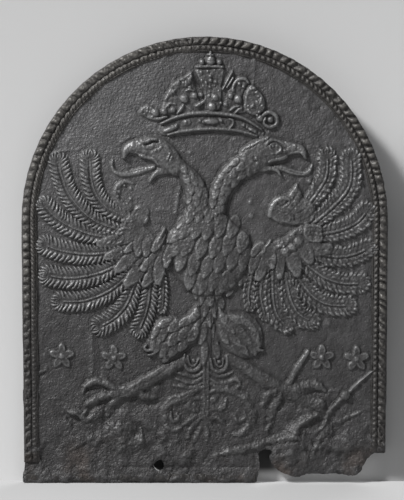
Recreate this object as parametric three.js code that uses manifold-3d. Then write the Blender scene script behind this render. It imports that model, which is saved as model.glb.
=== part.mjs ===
// A cast-iron fireback: an arched plate with a cable and bead border, and a crowned double-headed eagle in
// relief. Millimetres, +Z up. The relief faces -Y, the flat back faces +Y, and the origin is on the underside
// of the foot, at mid-width and mid-thickness.
//
// The real thing is one pour of iron. The meshes here are the pieces of its wooden pattern, which were carved
// one by one and laid on the board: the board itself, its mouldings, and each figure of the relief.

import * as THREE from "three";
import { mergeVertices } from "three/addons/utils/BufferGeometryUtils.js";
import Module from "manifold-3d";

const wasm = await Module();
wasm.setup();

// ---------------------------------------------------------------- driving sizes

// The plate
const ARCH_RADIUS = 275; // also half the width where the arch springs
const SPRING_HEIGHT = 395; // from the foot to the arch's centre
const FOOT_DRAW_IN = 4; // the sides draw in by this much towards the foot
const PLATE_THICKNESS = 16;
const ARCH_SEGMENTS = 56; // flat facets round the arch

// The border mouldings, from the edge inwards
const CABLE_WIDTH = 13;
const CABLE_HEIGHT = 8;
const CABLE_PITCH = 13; // one strand of the twist
const CABLE_SLANT = 10; // how far a strand runs along the edge from its outer to its inner end
const BEAD_WIDTH = 6;
const BEAD_HEIGHT = 5;
const BEAD_PITCH = 8.5;
const FILLET_WIDTH = 3.2;
const FILLET_HEIGHT = 2.5;
const MOULDING_GAP = 0.8; // between one moulding and the next
const EDGE_INSET = 0.5; // the cable lies this far inside the plate's edge
const CROWN_SEAM = -20; // the left and right mouldings meet here, a little left of the middle

// The worn moulding along the foot
const FOOT_MOULDING_WIDTH = 12;
const FOOT_MOULDING_HEIGHT = 3;
const FOOT_MOULDING_PITCH = 14;
const FOOT_MOULDING_RISE = 2; // its lower edge above the foot

// The broken corner and the burnt hole at the foot
const LEFT_CABLE_END = 31; // where the cable starts on the left
const BROKEN_CORNER_HEIGHT = 45; // the right side ends here
const FOOT_END = 77; // the foot is broken off here, right of the middle
const NOTCH_TOP = 51;
const LUMP_BOTTOM = 9; // the burnt lump hangs a little above the hearth
const HOLE_X = -69;
const HOLE_HEIGHT = 27;
const HOLE_RADIUS = 8;

// How far each part of the relief stands out of the plate
const BREAST_RELIEF = 12;
const NECK_RELIEF = 9;
const HEAD_RELIEF = 9.5;
const BEAK_RELIEF = 7;
const TONGUE_RELIEF = 3.5;
const FEATHER_RELIEF = 5.5;
const COVERT_RELIEF = 6.5;
const PLUME_RELIEF = 7;
const THIGH_RELIEF = 9;
const SHANK_RELIEF = 8;
const TOE_RELIEF = 6;
const TAIL_RELIEF = 4;
const CROWN_RELIEF = 4.5;
const PEARL_RELIEF = 7.5;
const REGALIA_RELIEF = 4.5;
const ROSETTE_RELIEF = 3.5;

// Rosettes, which stand where the casting had its numerals
const ROSETTE_RADIUS = 20;
const ROSETTE_EYE_RADIUS = 5.5;
const ROSETTE_PETALS = 5;

// Clearance between two figures of the relief that meet
const FIGURE_GAP = 0.3;

// ---------------------------------------------------------------- the drawing's frame

// The figures are drawn in units of their own and keep their places on the plate if it is made wider or taller.
// X runs from the middle, Z from the foot. Two points of the plate's own outline, drawn as [x, z] in the same
// units, tie the drawing to the plate.
const DRAWN_SPRING = [275, 395];
const DRAWN_CROWN = [0, 670];

const FRONT = -PLATE_THICKNESS / 2; // the plane that every figure is laid on
const cutterHeight = 2 * Math.max(BREAST_RELIEF, PLATE_THICKNESS); // clear of the highest relief
const footHalfWidth = ARCH_RADIUS - FOOT_DRAW_IN;
const unitAcross = ARCH_RADIUS / DRAWN_SPRING[0]; // millimetres in one unit of the drawing
const unitUp = (SPRING_HEIGHT + ARCH_RADIUS) / DRAWN_CROWN[1];

const cableMiddle = EDGE_INSET + CABLE_WIDTH / 2;
const beadMiddle = EDGE_INSET + CABLE_WIDTH + MOULDING_GAP + BEAD_WIDTH / 2;
const filletMiddle = beadMiddle + BEAD_WIDTH / 2 + MOULDING_GAP + FILLET_WIDTH / 2;
const fieldInset = filletMiddle + FILLET_WIDTH / 2 + FIGURE_GAP;

const place = ([x, z]) => new THREE.Vector2(x * unitAcross, z * unitUp);

// A point of the relief: its place on the plate and how far it stands out.
const raised = (p, height) => new THREE.Vector3(p.x, FRONT - height, p.y);

// ---------------------------------------------------------------- solids

function toSolid(geometry) {
  const bare = geometry.index ? geometry.clone() : geometry;
  bare.deleteAttribute("normal");
  bare.deleteAttribute("uv");
  const merged = mergeVertices(bare, 1e-4);
  const vertProperties = merged.attributes.position.array;
  const make = (triVerts) => new wasm.Manifold(new wasm.Mesh({ numProp: 3, vertProperties, triVerts }));
  const triangles = new Uint32Array(merged.index.array);
  const made = make(triangles);
  return made.volume() > 0 ? made : make(triangles.reverse());
}

function toGeometry(solid) {
  const mesh = solid.getMesh();
  const geometry = new THREE.BufferGeometry();
  geometry.setAttribute("position", new THREE.BufferAttribute(new Float32Array(mesh.vertProperties), 3));
  geometry.setIndex(new THREE.BufferAttribute(new Uint32Array(mesh.triVerts), 1));
  return geometry;
}

const joined = (solids) => solids.reduce((whole, next) => whole.add(next));

// A closed skin through rings of points, with flat ends.
function loft(rings) {
  const sides = rings[0].length;
  const positions = rings.flat().flatMap((p) => [p.x, p.y, p.z]);
  const index = [];
  for (let i = 0; i + 1 < rings.length; i++)
    for (let j = 0; j < sides; j++) {
      const a = i * sides + j;
      const b = i * sides + ((j + 1) % sides);
      index.push(a, b, b + sides, a, b + sides, a + sides);
    }
  const last = (rings.length - 1) * sides;
  for (let j = 1; j + 1 < sides; j++) index.push(0, j + 1, j, last, last + j, last + j + 1);
  const geometry = new THREE.BufferGeometry();
  geometry.setAttribute("position", new THREE.Float32BufferAttribute(positions, 3));
  geometry.setIndex(index);
  return toSolid(geometry);
}

// A value that runs through a list, from the first entry at t = 0 to the last at t = 1.
function along(list, t) {
  const at = THREE.MathUtils.clamp(t, 0, 1) * (list.length - 1);
  const i = Math.min(Math.floor(at), list.length - 2);
  return THREE.MathUtils.lerp(list[i], list[i + 1], at - i);
}

// Half of a ridge's section, as [share of the half-width, share of the height]. Broad ridges are rounder.
const BROAD_SECTION = [[1, 0], [0.62, 0.75], [0, 1]];
const SLIM_SECTION = [[1, 0], [0.45, 1]];
const BROAD = 8; // half-width from which a ridge is broad

// A rounded ridge along a smooth line: a rod, a toe, a scroll or a leg. grow widens it and lifts it to a
// straight-sided block, which cuts its neighbours back.
function ridge({ line, halfWidths, height, steps = 6 }, grow = 0) {
  const flank = Math.max(...halfWidths) < BROAD ? SLIM_SECTION : BROAD_SECTION;
  const mirrored = flank.filter(([share]) => share > 0).reverse();
  const curve = new THREE.SplineCurve(line.map(place));
  const rings = [];
  for (let i = 0; i <= steps; i++) {
    const t = i / steps;
    const middle = curve.getPointAt(t);
    const ahead = curve.getTangentAt(t);
    const side = new THREE.Vector2(-ahead.y, ahead.x);
    const half = along(halfWidths, t) * unitAcross + grow;
    const at = (share, up) => raised(middle.clone().addScaledVector(side, share * half), up);
    if (grow) {
      if (i === 0) middle.addScaledVector(ahead, -grow);
      if (i === steps) middle.addScaledVector(ahead, grow);
      rings.push([at(-1, -1), at(-1, cutterHeight), at(1, cutterHeight), at(1, -1)]);
      continue;
    }
    rings.push([
      ...flank.map(([share, up]) => at(-share, height * up)),
      ...mirrored.map(([share, up]) => at(share, height * up)),
    ]);
  }
  return loft(rings);
}

// A domed cushion over an outline whose every point can be seen from its middle. profile gives its rings as
// [share of the way out, share of the height], from the foot up.
function dome({ outline, middle, height, profile }, grow = 0) {
  const centre = place(middle);
  const edge = outline.map(place);
  const ring = (share, up) =>
    edge.map((p) => {
      const out = p.clone().sub(centre);
      return raised(centre.clone().addScaledVector(out, share * (1 + grow / out.length())), up);
    });
  const levels = grow
    ? [ring(1, -1), ring(1, cutterHeight)]
    : profile.map(([share, up]) => ring(share, height * up));
  const rings = levels.length;
  const count = edge.length;
  const positions = levels.flat().flatMap((p) => [p.x, p.y, p.z]);
  const foot = raised(centre, grow ? -1 : 0);
  const peak = raised(centre, grow ? cutterHeight : height);
  positions.push(foot.x, foot.y, foot.z, peak.x, peak.y, peak.z);
  const footAt = rings * count;
  const index = [];
  for (let j = 0; j < count; j++) {
    const k = (j + 1) % count;
    for (let i = 0; i + 1 < rings; i++) {
      const [a, b, c, d] = [i * count + j, i * count + k, (i + 1) * count + k, (i + 1) * count + j];
      index.push(a, b, c, a, c, d);
    }
    index.push(footAt, k, j, footAt + 1, (rings - 1) * count + j, (rings - 1) * count + k);
  }
  const geometry = new THREE.BufferGeometry();
  geometry.setAttribute("position", new THREE.Float32BufferAttribute(positions, 3));
  geometry.setIndex(index);
  return toSolid(geometry);
}

const CUSHION_PROFILE = [[1, 0], [0.86, 0.55], [0.5, 0.92]];
const BOSS_PROFILE = [[1, 0], [0.75, 0.7]];

// A round or oval boss, such as a pearl, a jewel or an orb.
function boss([x, z], radius, height, { flat = 1, turn = 0, corners = 8 } = {}) {
  const outline = Array.from({ length: corners }, (_, i) => {
    const a = (i / corners) * 2 * Math.PI;
    const [u, v] = [radius * Math.cos(a), radius * flat * Math.sin(a)];
    return [x + u * Math.cos(turn) - v * Math.sin(turn), z + u * Math.sin(turn) + v * Math.cos(turn)];
  });
  return { kind: dome, outline, middle: [x, z], height, profile: BOSS_PROFILE };
}

const rod = (line, halfWidths, height, more = {}) => ({ kind: ridge, line, halfWidths, height, ...more });
const cushion = (middle, outline, height) => {
  return { kind: dome, outline, middle, height, profile: CUSHION_PROFILE };
};

// A feather: a raised quill between two vanes, from its root to its round tip.
function feather({ line, halfWidth, height }, grow = 0) {
  const curve = new THREE.SplineCurve(line.map(place));
  const stations = [0, 0.14, 0.28, 0.42, 0.56, 0.7, 0.82, 0.9, 0.96, 1];
  const rings = stations.map((t) => {
    const opening = 0.5 + 0.5 * Math.sin((Math.min(t / 0.6, 1) * Math.PI) / 2);
    const tip = t > 0.8 ? Math.sqrt(Math.max(0.06, 1 - ((t - 0.8) / 0.205) ** 2)) : 1;
    const half = halfWidth * opening * tip * unitAcross + grow;
    const top = height * (1 - 0.3 * t);
    const ahead = curve.getTangentAt(t);
    const side = new THREE.Vector2(-ahead.y, ahead.x);
    const middle = curve.getPointAt(t);
    const at = (share, up) => raised(middle.clone().addScaledVector(side, share * half), up);
    return grow
      ? [at(-1, -1), at(-1, cutterHeight), at(1, cutterHeight), at(1, -1)]
      : [at(-1, 0), at(-0.7, top * 0.8), at(0, top), at(0.7, top * 0.8), at(1, 0)];
  });
  return loft(rings);
}

// ---------------------------------------------------------------- the plate and its mouldings

// Half of the plate's edge, drawn in by an inset: from the foot up one side and over to the crown. side is -1
// for the left half and 1 for the right.
function edgePath(inset, side) {
  const foot = side < 0 ? LEFT_CABLE_END : BROKEN_CORNER_HEIGHT + MOULDING_GAP;
  const footX = THREE.MathUtils.lerp(footHalfWidth, ARCH_RADIUS, foot / SPRING_HEIGHT) - inset;
  const spring = ARCH_RADIUS - inset;
  const crown = Math.PI / 2 - (CROWN_SEAM + (side * FIGURE_GAP) / 2) / spring;
  const start = side < 0 ? Math.PI : 0;
  const arch = new THREE.EllipseCurve(0, SPRING_HEIGHT, spring, spring, start, crown, side < 0);
  const path = new THREE.CurvePath();
  path.add(new THREE.LineCurve(new THREE.Vector2(side * footX, foot), arch.getPoint(0)));
  path.add(arch);
  return path;
}

// A moulding along a path. section(i) gives each ring's points as [inwards, height, shift along the path],
// from the outer foot to the inner foot.
function moulding(path, stations, side, section) {
  const length = path.getLength();
  const rings = [];
  for (let i = 0; i <= stations; i++) {
    const points = section(i).map(([inwards, up, shift]) => {
      const t = THREE.MathUtils.clamp(i / stations + shift / length, 0, 1);
      const ahead = path.getTangentAt(t);
      const inner = new THREE.Vector2(-side * ahead.y, side * ahead.x);
      return raised(path.getPointAt(t).addScaledVector(inner, inwards), up);
    });
    rings.push(points);
  }
  return loft(rings);
}

function cable(side) {
  const path = edgePath(cableMiddle, side);
  const strands = Math.round(path.getLength() / CABLE_PITCH);
  const half = CABLE_WIDTH / 2;
  return moulding(path, strands * 2, side, (i) => {
    const top = CABLE_HEIGHT * (i % 2 ? 1 : 0.55);
    return [
      [-half, 0, -CABLE_SLANT / 2],
      [-half * 0.55, top * 0.85, -CABLE_SLANT / 4],
      [half * 0.55, top * 0.85, CABLE_SLANT / 4],
      [half, 0, CABLE_SLANT / 2],
    ];
  });
}

function beadRow(side) {
  const path = edgePath(beadMiddle, side);
  const beads = Math.round(path.getLength() / BEAD_PITCH);
  const half = BEAD_WIDTH / 2;
  return moulding(path, beads * 2, side, (i) => {
    const share = i % 2 ? 1 : 0.45;
    return [
      [-half * share, 0, 0],
      [0, BEAD_HEIGHT * share, 0],
      [half * share, 0, 0],
    ];
  });
}

function fillet(side) {
  const half = FILLET_WIDTH / 2;
  return moulding(edgePath(filletMiddle, side), 32, side, () => [
    [-half, 0, 0],
    [0, FILLET_HEIGHT, 0],
    [half, 0, 0],
  ]);
}

function footMoulding() {
  const from = new THREE.Vector2(-footHalfWidth + EDGE_INSET, FOOT_MOULDING_RISE + FOOT_MOULDING_WIDTH / 2);
  const to = new THREE.Vector2(FOOT_END - EDGE_INSET, from.y);
  const path = new THREE.LineCurve(from, to);
  const half = FOOT_MOULDING_WIDTH / 2;
  const lobes = Math.round(path.getLength() / FOOT_MOULDING_PITCH);
  return moulding(path, lobes * 2, -1, (i) => {
    const top = FOOT_MOULDING_HEIGHT * (i % 2 ? 1 : 0.5);
    return [
      [-half, 0, 0],
      [-half * 0.5, top, 0],
      [half * 0.5, top, 0],
      [half, 0, 0],
    ];
  });
}

// The outline of the plate, anticlockwise from the foot's left corner. The lower right corner has burnt and
// broken away: a notch, then a ragged lump that ends at the stump of the right border.
function plateOutline() {
  const shape = new THREE.Shape();
  const stumpInner = footHalfWidth - 21;
  shape.moveTo(-footHalfWidth, 0);
  shape.lineTo(FOOT_END, 0);
  const brokenEdge = [
    [FOOT_END + 2, 12],
    [FOOT_END + 5, 25],
    [FOOT_END + 3, NOTCH_TOP - 12],
    [FOOT_END + 8, NOTCH_TOP - 3],
    [FOOT_END + 18, NOTCH_TOP],
    [FOOT_END + 26, NOTCH_TOP - 3],
    [FOOT_END + 21, LUMP_BOTTOM + 29],
    [FOOT_END + 27, LUMP_BOTTOM + 17],
    [FOOT_END + 36, LUMP_BOTTOM + 9],
    [FOOT_END + 47, LUMP_BOTTOM + 2],
    [FOOT_END + 66, LUMP_BOTTOM],
    [FOOT_END + 88, LUMP_BOTTOM + 4],
    [stumpInner - 60, LUMP_BOTTOM + 3],
    [stumpInner - 28, LUMP_BOTTOM + 1],
    [stumpInner - 18, LUMP_BOTTOM + 5],
    [stumpInner - 12, LUMP_BOTTOM + 16],
    [stumpInner - 4, BROKEN_CORNER_HEIGHT - 5],
    [stumpInner, BROKEN_CORNER_HEIGHT],
  ];
  brokenEdge.forEach(([x, z]) => shape.lineTo(x, z));
  const stumpOuter = THREE.MathUtils.lerp(footHalfWidth, ARCH_RADIUS, BROKEN_CORNER_HEIGHT / SPRING_HEIGHT);
  shape.lineTo(stumpOuter, BROKEN_CORNER_HEIGHT);
  shape.lineTo(ARCH_RADIUS, SPRING_HEIGHT);
  shape.absarc(0, SPRING_HEIGHT, ARCH_RADIUS, 0, Math.PI, false);
  shape.closePath();
  return shape;
}

function burntHole() {
  const ragged = [1, 0.82, 1.05, 0.9, 1.1, 0.95, 0.85, 1.08]; // how far out each corner of the hole lies
  const corners = ragged.map((share, i) => {
    const a = (-i / ragged.length) * 2 * Math.PI;
    return new THREE.Vector2(
      HOLE_X + HOLE_RADIUS * share * Math.cos(a),
      HOLE_HEIGHT + HOLE_RADIUS * share * Math.sin(a),
    );
  });
  return new THREE.Path(corners);
}

function plate() {
  const shape = plateOutline();
  shape.holes.push(burntHole());
  const geometry = new THREE.ExtrudeGeometry(shape, {
    depth: PLATE_THICKNESS,
    bevelEnabled: false,
    curveSegments: ARCH_SEGMENTS,
  });
  geometry.rotateX(Math.PI / 2);
  geometry.translate(0, PLATE_THICKNESS / 2, 0);
  return toSolid(geometry);
}

// The space inside the fillet, which every figure stays in.
function field() {
  const shape = new THREE.Shape();
  const half = footHalfWidth - fieldInset;
  const bottom = FOOT_MOULDING_RISE + FOOT_MOULDING_WIDTH + FIGURE_GAP;
  shape.moveTo(-half, bottom);
  shape.lineTo(half, bottom);
  shape.lineTo(ARCH_RADIUS - fieldInset, SPRING_HEIGHT);
  shape.absarc(0, SPRING_HEIGHT, ARCH_RADIUS - fieldInset, 0, Math.PI, false);
  shape.closePath();
  const geometry = new THREE.ExtrudeGeometry(shape, {
    depth: cutterHeight,
    bevelEnabled: false,
    curveSegments: ARCH_SEGMENTS,
  });
  geometry.rotateX(Math.PI / 2);
  geometry.translate(0, FRONT, 0);
  return toSolid(geometry);
}

// ---------------------------------------------------------------- the crown

const pearl = (at, radius) => boss(at, radius, PEARL_RELIEF * (0.6 + radius / 20));

const crownBand = [
  rod([[-64, 529], [-30, 537], [10, 541], [50, 536], [86, 522]], [11, 12, 11], CROWN_RELIEF, { steps: 10 }),
  rod([[-66, 538], [-30, 549], [10, 553], [50, 548], [87, 530]], [2, 3.2, 2], CROWN_RELIEF * 1.5, {
    steps: 10,
  }),
  rod([[-60, 519], [-30, 526], [12, 529], [50, 526], [81, 516]], [2, 3.2, 2], CROWN_RELIEF * 1.5, {
    steps: 10,
  }),
  boss([6, 541], 10, PEARL_RELIEF, { flat: 0.55 }),
  boss([-51, 533], 10, PEARL_RELIEF * 0.8, { flat: 0.42, turn: 0.35 }),
  boss([71, 528], 9, PEARL_RELIEF * 0.8, { flat: 0.42, turn: -0.42 }),
  boss([42, 538], 6, PEARL_RELIEF * 0.75, { flat: 0.9, turn: 0.6, corners: 4 }),
  boss([-29, 540], 5, PEARL_RELIEF * 0.75, { flat: 0.9, turn: 0.9, corners: 4 }),
];

const crownLeftCap = [
  cushion(
    [-38, 582],
    [
      [-63, 557],
      [-61, 575],
      [-56, 589],
      [-45, 603],
      [-31, 612],
      [-17, 618],
      [-16, 602],
      [-12, 586],
      [-8, 572],
      [-12, 557],
      [-36, 553],
    ],
    CROWN_RELIEF,
  ),
  pearl([-48, 561], 5),
  pearl([-31, 575], 7),
  pearl([-16, 580], 4.5),
];

const crownRightCap = [
  cushion(
    [50, 582],
    [
      [30, 557],
      [32, 573],
      [38, 592],
      [44, 604],
      [54, 609],
      [65, 603],
      [62, 585],
      [60, 555],
    ],
    CROWN_RELIEF,
  ),
  cushion(
    [74, 572],
    [
      [58, 556],
      [58, 580],
      [63, 593],
      [69, 602],
      [80, 593],
      [88, 580],
      [91, 566],
      [87, 554],
      [74, 547],
    ],
    CROWN_RELIEF * 1.35,
  ),
  rod([[33, 580], [36, 600], [41, 616]], [2.5, 3, 2], CROWN_RELIEF, { steps: 3 }),
  pearl([51, 574], 6.5),
  pearl([38, 581], 4.2),
];

const crownArch = [
  cushion(
    [10, 590],
    [
      [-14, 619],
      [8, 621],
      [30, 620],
      [26, 592],
      [24, 570],
      [22, 558],
      [0, 558],
      [-2, 575],
      [-4, 592],
    ],
    CROWN_RELIEF,
  ),
  pearl([8, 610], 3.6),
  pearl([9, 601], 3.8),
  pearl([8, 592], 3.4),
  pearl([14, 577], 6.5),
  pearl([11, 565], 6),
];

const crownOrb = [
  rod([[-13, 624], [8, 625], [29, 624]], [2.4, 3, 2.4], CROWN_RELIEF * 1.2, { steps: 4 }),
  boss([8, 633], 8, PEARL_RELIEF * 1.1),
  boss([-4, 631], 4.6, PEARL_RELIEF * 0.8),
  boss([22, 631], 4.6, PEARL_RELIEF * 0.8),
  rod([[8, 636], [8, 648]], [2.6, 2.2], CROWN_RELIEF, { steps: 2 }),
];

const crownLeftFleuron = [
  cushion(
    [-84, 556],
    [
      [-99, 555],
      [-95, 563],
      [-86, 568],
      [-77, 564],
      [-72, 556],
      [-74, 547],
      [-84, 546],
      [-93, 550],
    ],
    CROWN_RELIEF * 1.2,
  ),
  rod([[-86, 550], [-72, 545], [-55, 549]], [3, 3, 2.5], CROWN_RELIEF, { steps: 4 }),
  pearl([-74, 555], 6.5),
  pearl([-61, 557], 5.6),
];

const crownRightScroll = [
  rod(
    [[84, 549], [96, 557], [109, 551], [110, 538], [98, 532], [88, 539], [95, 547]],
    [4, 4, 4, 3.4, 3, 2.6, 2.4],
    CROWN_RELIEF * 1.2,
    { steps: 12 },
  ),
  boss([82, 546], 6, PEARL_RELIEF * 0.9),
];

// ---------------------------------------------------------------- heads, necks and breast

const leftHead = [
  cushion(
    [-68, 494],
    [
      [-98, 488],
      [-103, 500],
      [-104, 513],
      [-92, 519],
      [-80, 521],
      [-66, 519],
      [-54, 511],
      [-44, 502],
      [-36, 491],
      [-28, 480],
      [-24, 472],
      [-34, 462],
      [-46, 460],
      [-57, 464],
      [-66, 471],
      [-78, 480],
      [-88, 485],
    ],
    HEAD_RELIEF,
  ),
  rod([[-92, 502], [-108, 504], [-120, 498], [-122, 485]], [13, 10.5, 6.5, 2], BEAK_RELIEF, { steps: 7 }),
  rod([[-56, 468], [-70, 466], [-79, 459], [-83, 450]], [5, 5, 3.5, 1.5], BEAK_RELIEF * 0.6, { steps: 5 }),
  boss([-79, 505], 5.5, HEAD_RELIEF + 2, { flat: 0.7, turn: 0.5 }),
];

const rightHead = [
  cushion(
    [88, 492],
    [
      [98, 476],
      [88, 469],
      [76, 463],
      [64, 458],
      [52, 468],
      [48, 484],
      [52, 499],
      [61, 507],
      [73, 514],
      [85, 520],
      [98, 521],
      [110, 516],
      [121, 514],
      [127, 505],
      [126, 490],
      [118, 482],
      [107, 480],
    ],
    HEAD_RELIEF,
  ),
  rod([[114, 500], [132, 502], [147, 499], [152, 485]], [13, 11, 7, 2], BEAK_RELIEF, { steps: 7 }),
  rod([[84, 470], [100, 472], [112, 467], [118, 454]], [5, 4.5, 3.5, 1.5], BEAK_RELIEF * 0.6, { steps: 5 }),
  boss([106, 503], 6.5, HEAD_RELIEF + 2, { flat: 0.6, turn: -0.2 }),
];

const leftTongue = [
  rod(
    [[-74, 474], [-90, 470], [-108, 464], [-124, 462], [-136, 467], [-141, 477], [-139, 486]],
    [3, 4.5, 5, 4.5, 3.5, 2.5, 1.2],
    TONGUE_RELIEF,
    { steps: 12 },
  ),
];

const rightTongue = [
  rod(
    [[103, 475], [118, 470], [134, 464], [149, 462], [159, 467], [163, 479]],
    [3, 4.5, 5, 4, 3, 1.2],
    TONGUE_RELIEF,
    { steps: 10 },
  ),
];

const leftNeck = [
  rod([[-33, 471], [-21, 456], [-12, 434], [-8, 412]], [12, 15.5, 18, 21], NECK_RELIEF, { steps: 6 }),
];

const rightNeck = [
  rod([[68, 484], [46, 467], [29, 447], [20, 426], [16, 410]], [19, 17, 16, 16, 18], NECK_RELIEF, {
    steps: 7,
  }),
];

const breast = [
  cushion(
    [8, 346],
    [
      [-28, 411],
      [-34, 396],
      [-46, 381],
      [-53, 365],
      [-53, 350],
      [-48, 335],
      [-45, 320],
      [-38, 305],
      [-28, 292],
      [-16, 283],
      [0, 279],
      [16, 280],
      [30, 285],
      [44, 295],
      [54, 307],
      [62, 320],
      [68, 335],
      [71, 350],
      [69, 364],
      [62, 376],
      [50, 384],
      [40, 394],
      [32, 405],
      [26, 414],
      [0, 420],
    ],
    BREAST_RELIEF,
  ),
];

// ---------------------------------------------------------------- wings

const covert = (line, halfWidth) =>
  rod(line, [halfWidth * 0.7, halfWidth, halfWidth, halfWidth * 0.25], COVERT_RELIEF, { steps: 4 });

const leftPlume = [
  rod(
    [[-84, 404], [-104, 402], [-124, 409], [-135, 425], [-133, 443], [-121, 452], [-110, 446], [-113, 437]],
    [12, 12, 10, 8, 7, 6, 5, 3],
    PLUME_RELIEF,
    { steps: 16 },
  ),
];

const leftCoverts = [
  rod([[-58, 346], [-84, 352], [-104, 368], [-108, 388]], [13, 20, 20, 11], COVERT_RELIEF * 1.15),
  rod([[-54, 386], [-62, 370], [-70, 352]], [3, 7, 8], COVERT_RELIEF, { steps: 4 }),
  covert([[-106, 384], [-128, 384]], 8),
  covert([[-112, 369], [-138, 364], [-163, 359]], 9),
  covert([[-104, 352], [-130, 345], [-152, 341]], 10),
  covert([[-94, 344], [-118, 330], [-139, 317]], 12),
  covert([[-88, 334], [-106, 312], [-119, 297]], 11.5),
  covert([[-80, 334], [-90, 312], [-98, 293]], 11),
  covert([[-72, 340], [-73, 318], [-69, 296]], 10.5),
];

const rightPlume = [
  cushion(
    [132, 408],
    [
      [95, 400],
      [97, 414],
      [108, 427],
      [123, 433],
      [133, 446],
      [138, 451],
      [144, 442],
      [149, 428],
      [160, 424],
      [168, 405],
      [163, 391],
      [148, 386],
      [125, 387],
      [107, 391],
    ],
    PLUME_RELIEF,
  ),
];

const rightCoverts = [
  rod([[70, 336], [94, 344], [118, 352], [138, 368], [150, 382]], [10, 15, 16, 13, 9], COVERT_RELIEF * 1.15, {
    steps: 8,
  }),
  rod([[82, 372], [74, 350], [68, 322]], [3, 6, 7], COVERT_RELIEF, { steps: 4 }),
  rod([[140, 374], [160, 375], [178, 374]], [13, 14, 13], COVERT_RELIEF * 0.8, { steps: 3 }),
  covert([[138, 364], [152, 346], [160, 327]], 11.5),
  covert([[124, 352], [134, 328], [139, 304]], 12.5),
  covert([[110, 348], [112, 326], [112, 302]], 8),
  covert([[98, 350], [100, 334], [97, 318]], 10),
  covert([[94, 334], [78, 318], [60, 304]], 9),
];

const LEFT_FEATHERS = [
  { line: [[-112, 397], [-148, 414], [-168, 447], [-172, 498]], halfWidth: 15.5 },
  { line: [[-128, 379], [-172, 398], [-205, 438], [-221, 494]], halfWidth: 16.5 },
  { line: [[-128, 366], [-175, 374], [-218, 394], [-247, 425]], halfWidth: 16 },
  { line: [[-130, 347], [-172, 343], [-215, 348], [-251, 361]], halfWidth: 17.5 },
  { line: [[-118, 333], [-160, 314], [-205, 307], [-248, 314]], halfWidth: 17.5 },
  { line: [[-104, 321], [-140, 290], [-182, 273], [-229, 273]], halfWidth: 16.5 },
  { line: [[-102, 306], [-117, 268], [-138, 245], [-168, 229]], halfWidth: 18 },
  { line: [[-80, 312], [-84, 272], [-91, 246], [-104, 218]], halfWidth: 15.5 },
  { line: [[-62, 314], [-62, 276], [-65, 253]], halfWidth: 8.5 },
];

const RIGHT_FEATHERS = [
  { line: [[148, 408], [167, 433], [183, 462], [184, 502]], halfWidth: 15.5 },
  { line: [[158, 386], [192, 414], [218, 448], [219, 502]], halfWidth: 17.5 },
  { line: [[164, 372], [200, 378], [230, 392], [250, 418]], halfWidth: 17.5 },
  { line: [[156, 350], [188, 340], [222, 342], [256, 358]], halfWidth: 17.5 },
  { line: [[148, 332], [178, 309], [210, 299], [248, 301]], halfWidth: 17.5 },
  { line: [[136, 314], [160, 282], [188, 267], [229, 267]], halfWidth: 17 },
  { line: [[122, 308], [130, 272], [146, 250], [173, 240]], halfWidth: 17 },
  { line: [[102, 316], [103, 274], [111, 248], [132, 229]], halfWidth: 16 },
  { line: [[88, 318], [84, 280], [93, 242]], halfWidth: 10.5 },
  { line: [[72, 316], [66, 284], [69, 256]], halfWidth: 10 },
];

// ---------------------------------------------------------------- legs and feet

const leftThigh = [
  cushion(
    [-45, 222],
    [
      [-13, 270],
      [-30, 249],
      [-46, 251],
      [-62, 247],
      [-76, 236],
      [-86, 219],
      [-93, 203],
      [-84, 194],
      [-72, 190],
      [-62, 180],
      [-48, 186],
      [-34, 197],
      [-20, 208],
      [-8, 218],
      [-4, 238],
      [-5, 260],
    ],
    THIGH_RELIEF,
  ),
];

const rightThigh = [
  cushion(
    [52, 222],
    [
      [21, 266],
      [32, 254],
      [48, 256],
      [64, 254],
      [78, 246],
      [86, 231],
      [88, 212],
      [84, 198],
      [74, 188],
      [60, 185],
      [46, 193],
      [30, 203],
      [18, 214],
      [15, 238],
    ],
    THIGH_RELIEF,
  ),
];

const leftLeg = [
  rod([[-44, 189], [-66, 170], [-90, 150], [-114, 142]], [8, 8.5, 8, 7], SHANK_RELIEF, { steps: 6 }),
  rod(
    [[-104, 139], [-136, 142], [-156, 150], [-172, 151], [-183, 143], [-184, 131]],
    [7, 6, 5, 4.5, 3.5, 1.5],
    TOE_RELIEF,
    { steps: 9 },
  ),
  rod([[-104, 139], [-138, 132], [-164, 124], [-184, 116], [-193, 108]], [8, 7, 5.5, 4, 1.5], TOE_RELIEF),
  rod([[-112, 137], [-136, 121], [-149, 103]], [7, 5, 1.8], TOE_RELIEF, { steps: 5 }),
  rod([[-106, 139], [-92, 127], [-74, 124]], [6, 4.5, 1.5], TOE_RELIEF, { steps: 4 }),
];

const rightLeg = [
  rod([[46, 190], [68, 171], [92, 155], [116, 143]], [8, 8.5, 8.5, 8], SHANK_RELIEF, { steps: 6 }),
  rod([[108, 142], [138, 141], [156, 146], [173, 145], [183, 134]], [7, 6, 5, 4.5, 1.8], TOE_RELIEF),
  rod([[112, 142], [98, 137], [88, 128], [83, 115]], [7, 5.5, 4, 1.5], TOE_RELIEF, { steps: 6 }),
  rod([[112, 142], [106, 112], [98, 92], [92, 77]], [7, 5, 4, 1.5], TOE_RELIEF, { steps: 6 }),
  rod([[114, 140], [145, 127], [166, 120], [183, 119]], [7, 5.5, 4.5, 2], TOE_RELIEF, { steps: 6 }),
];

// ---------------------------------------------------------------- tail, regalia and rosettes

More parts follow.
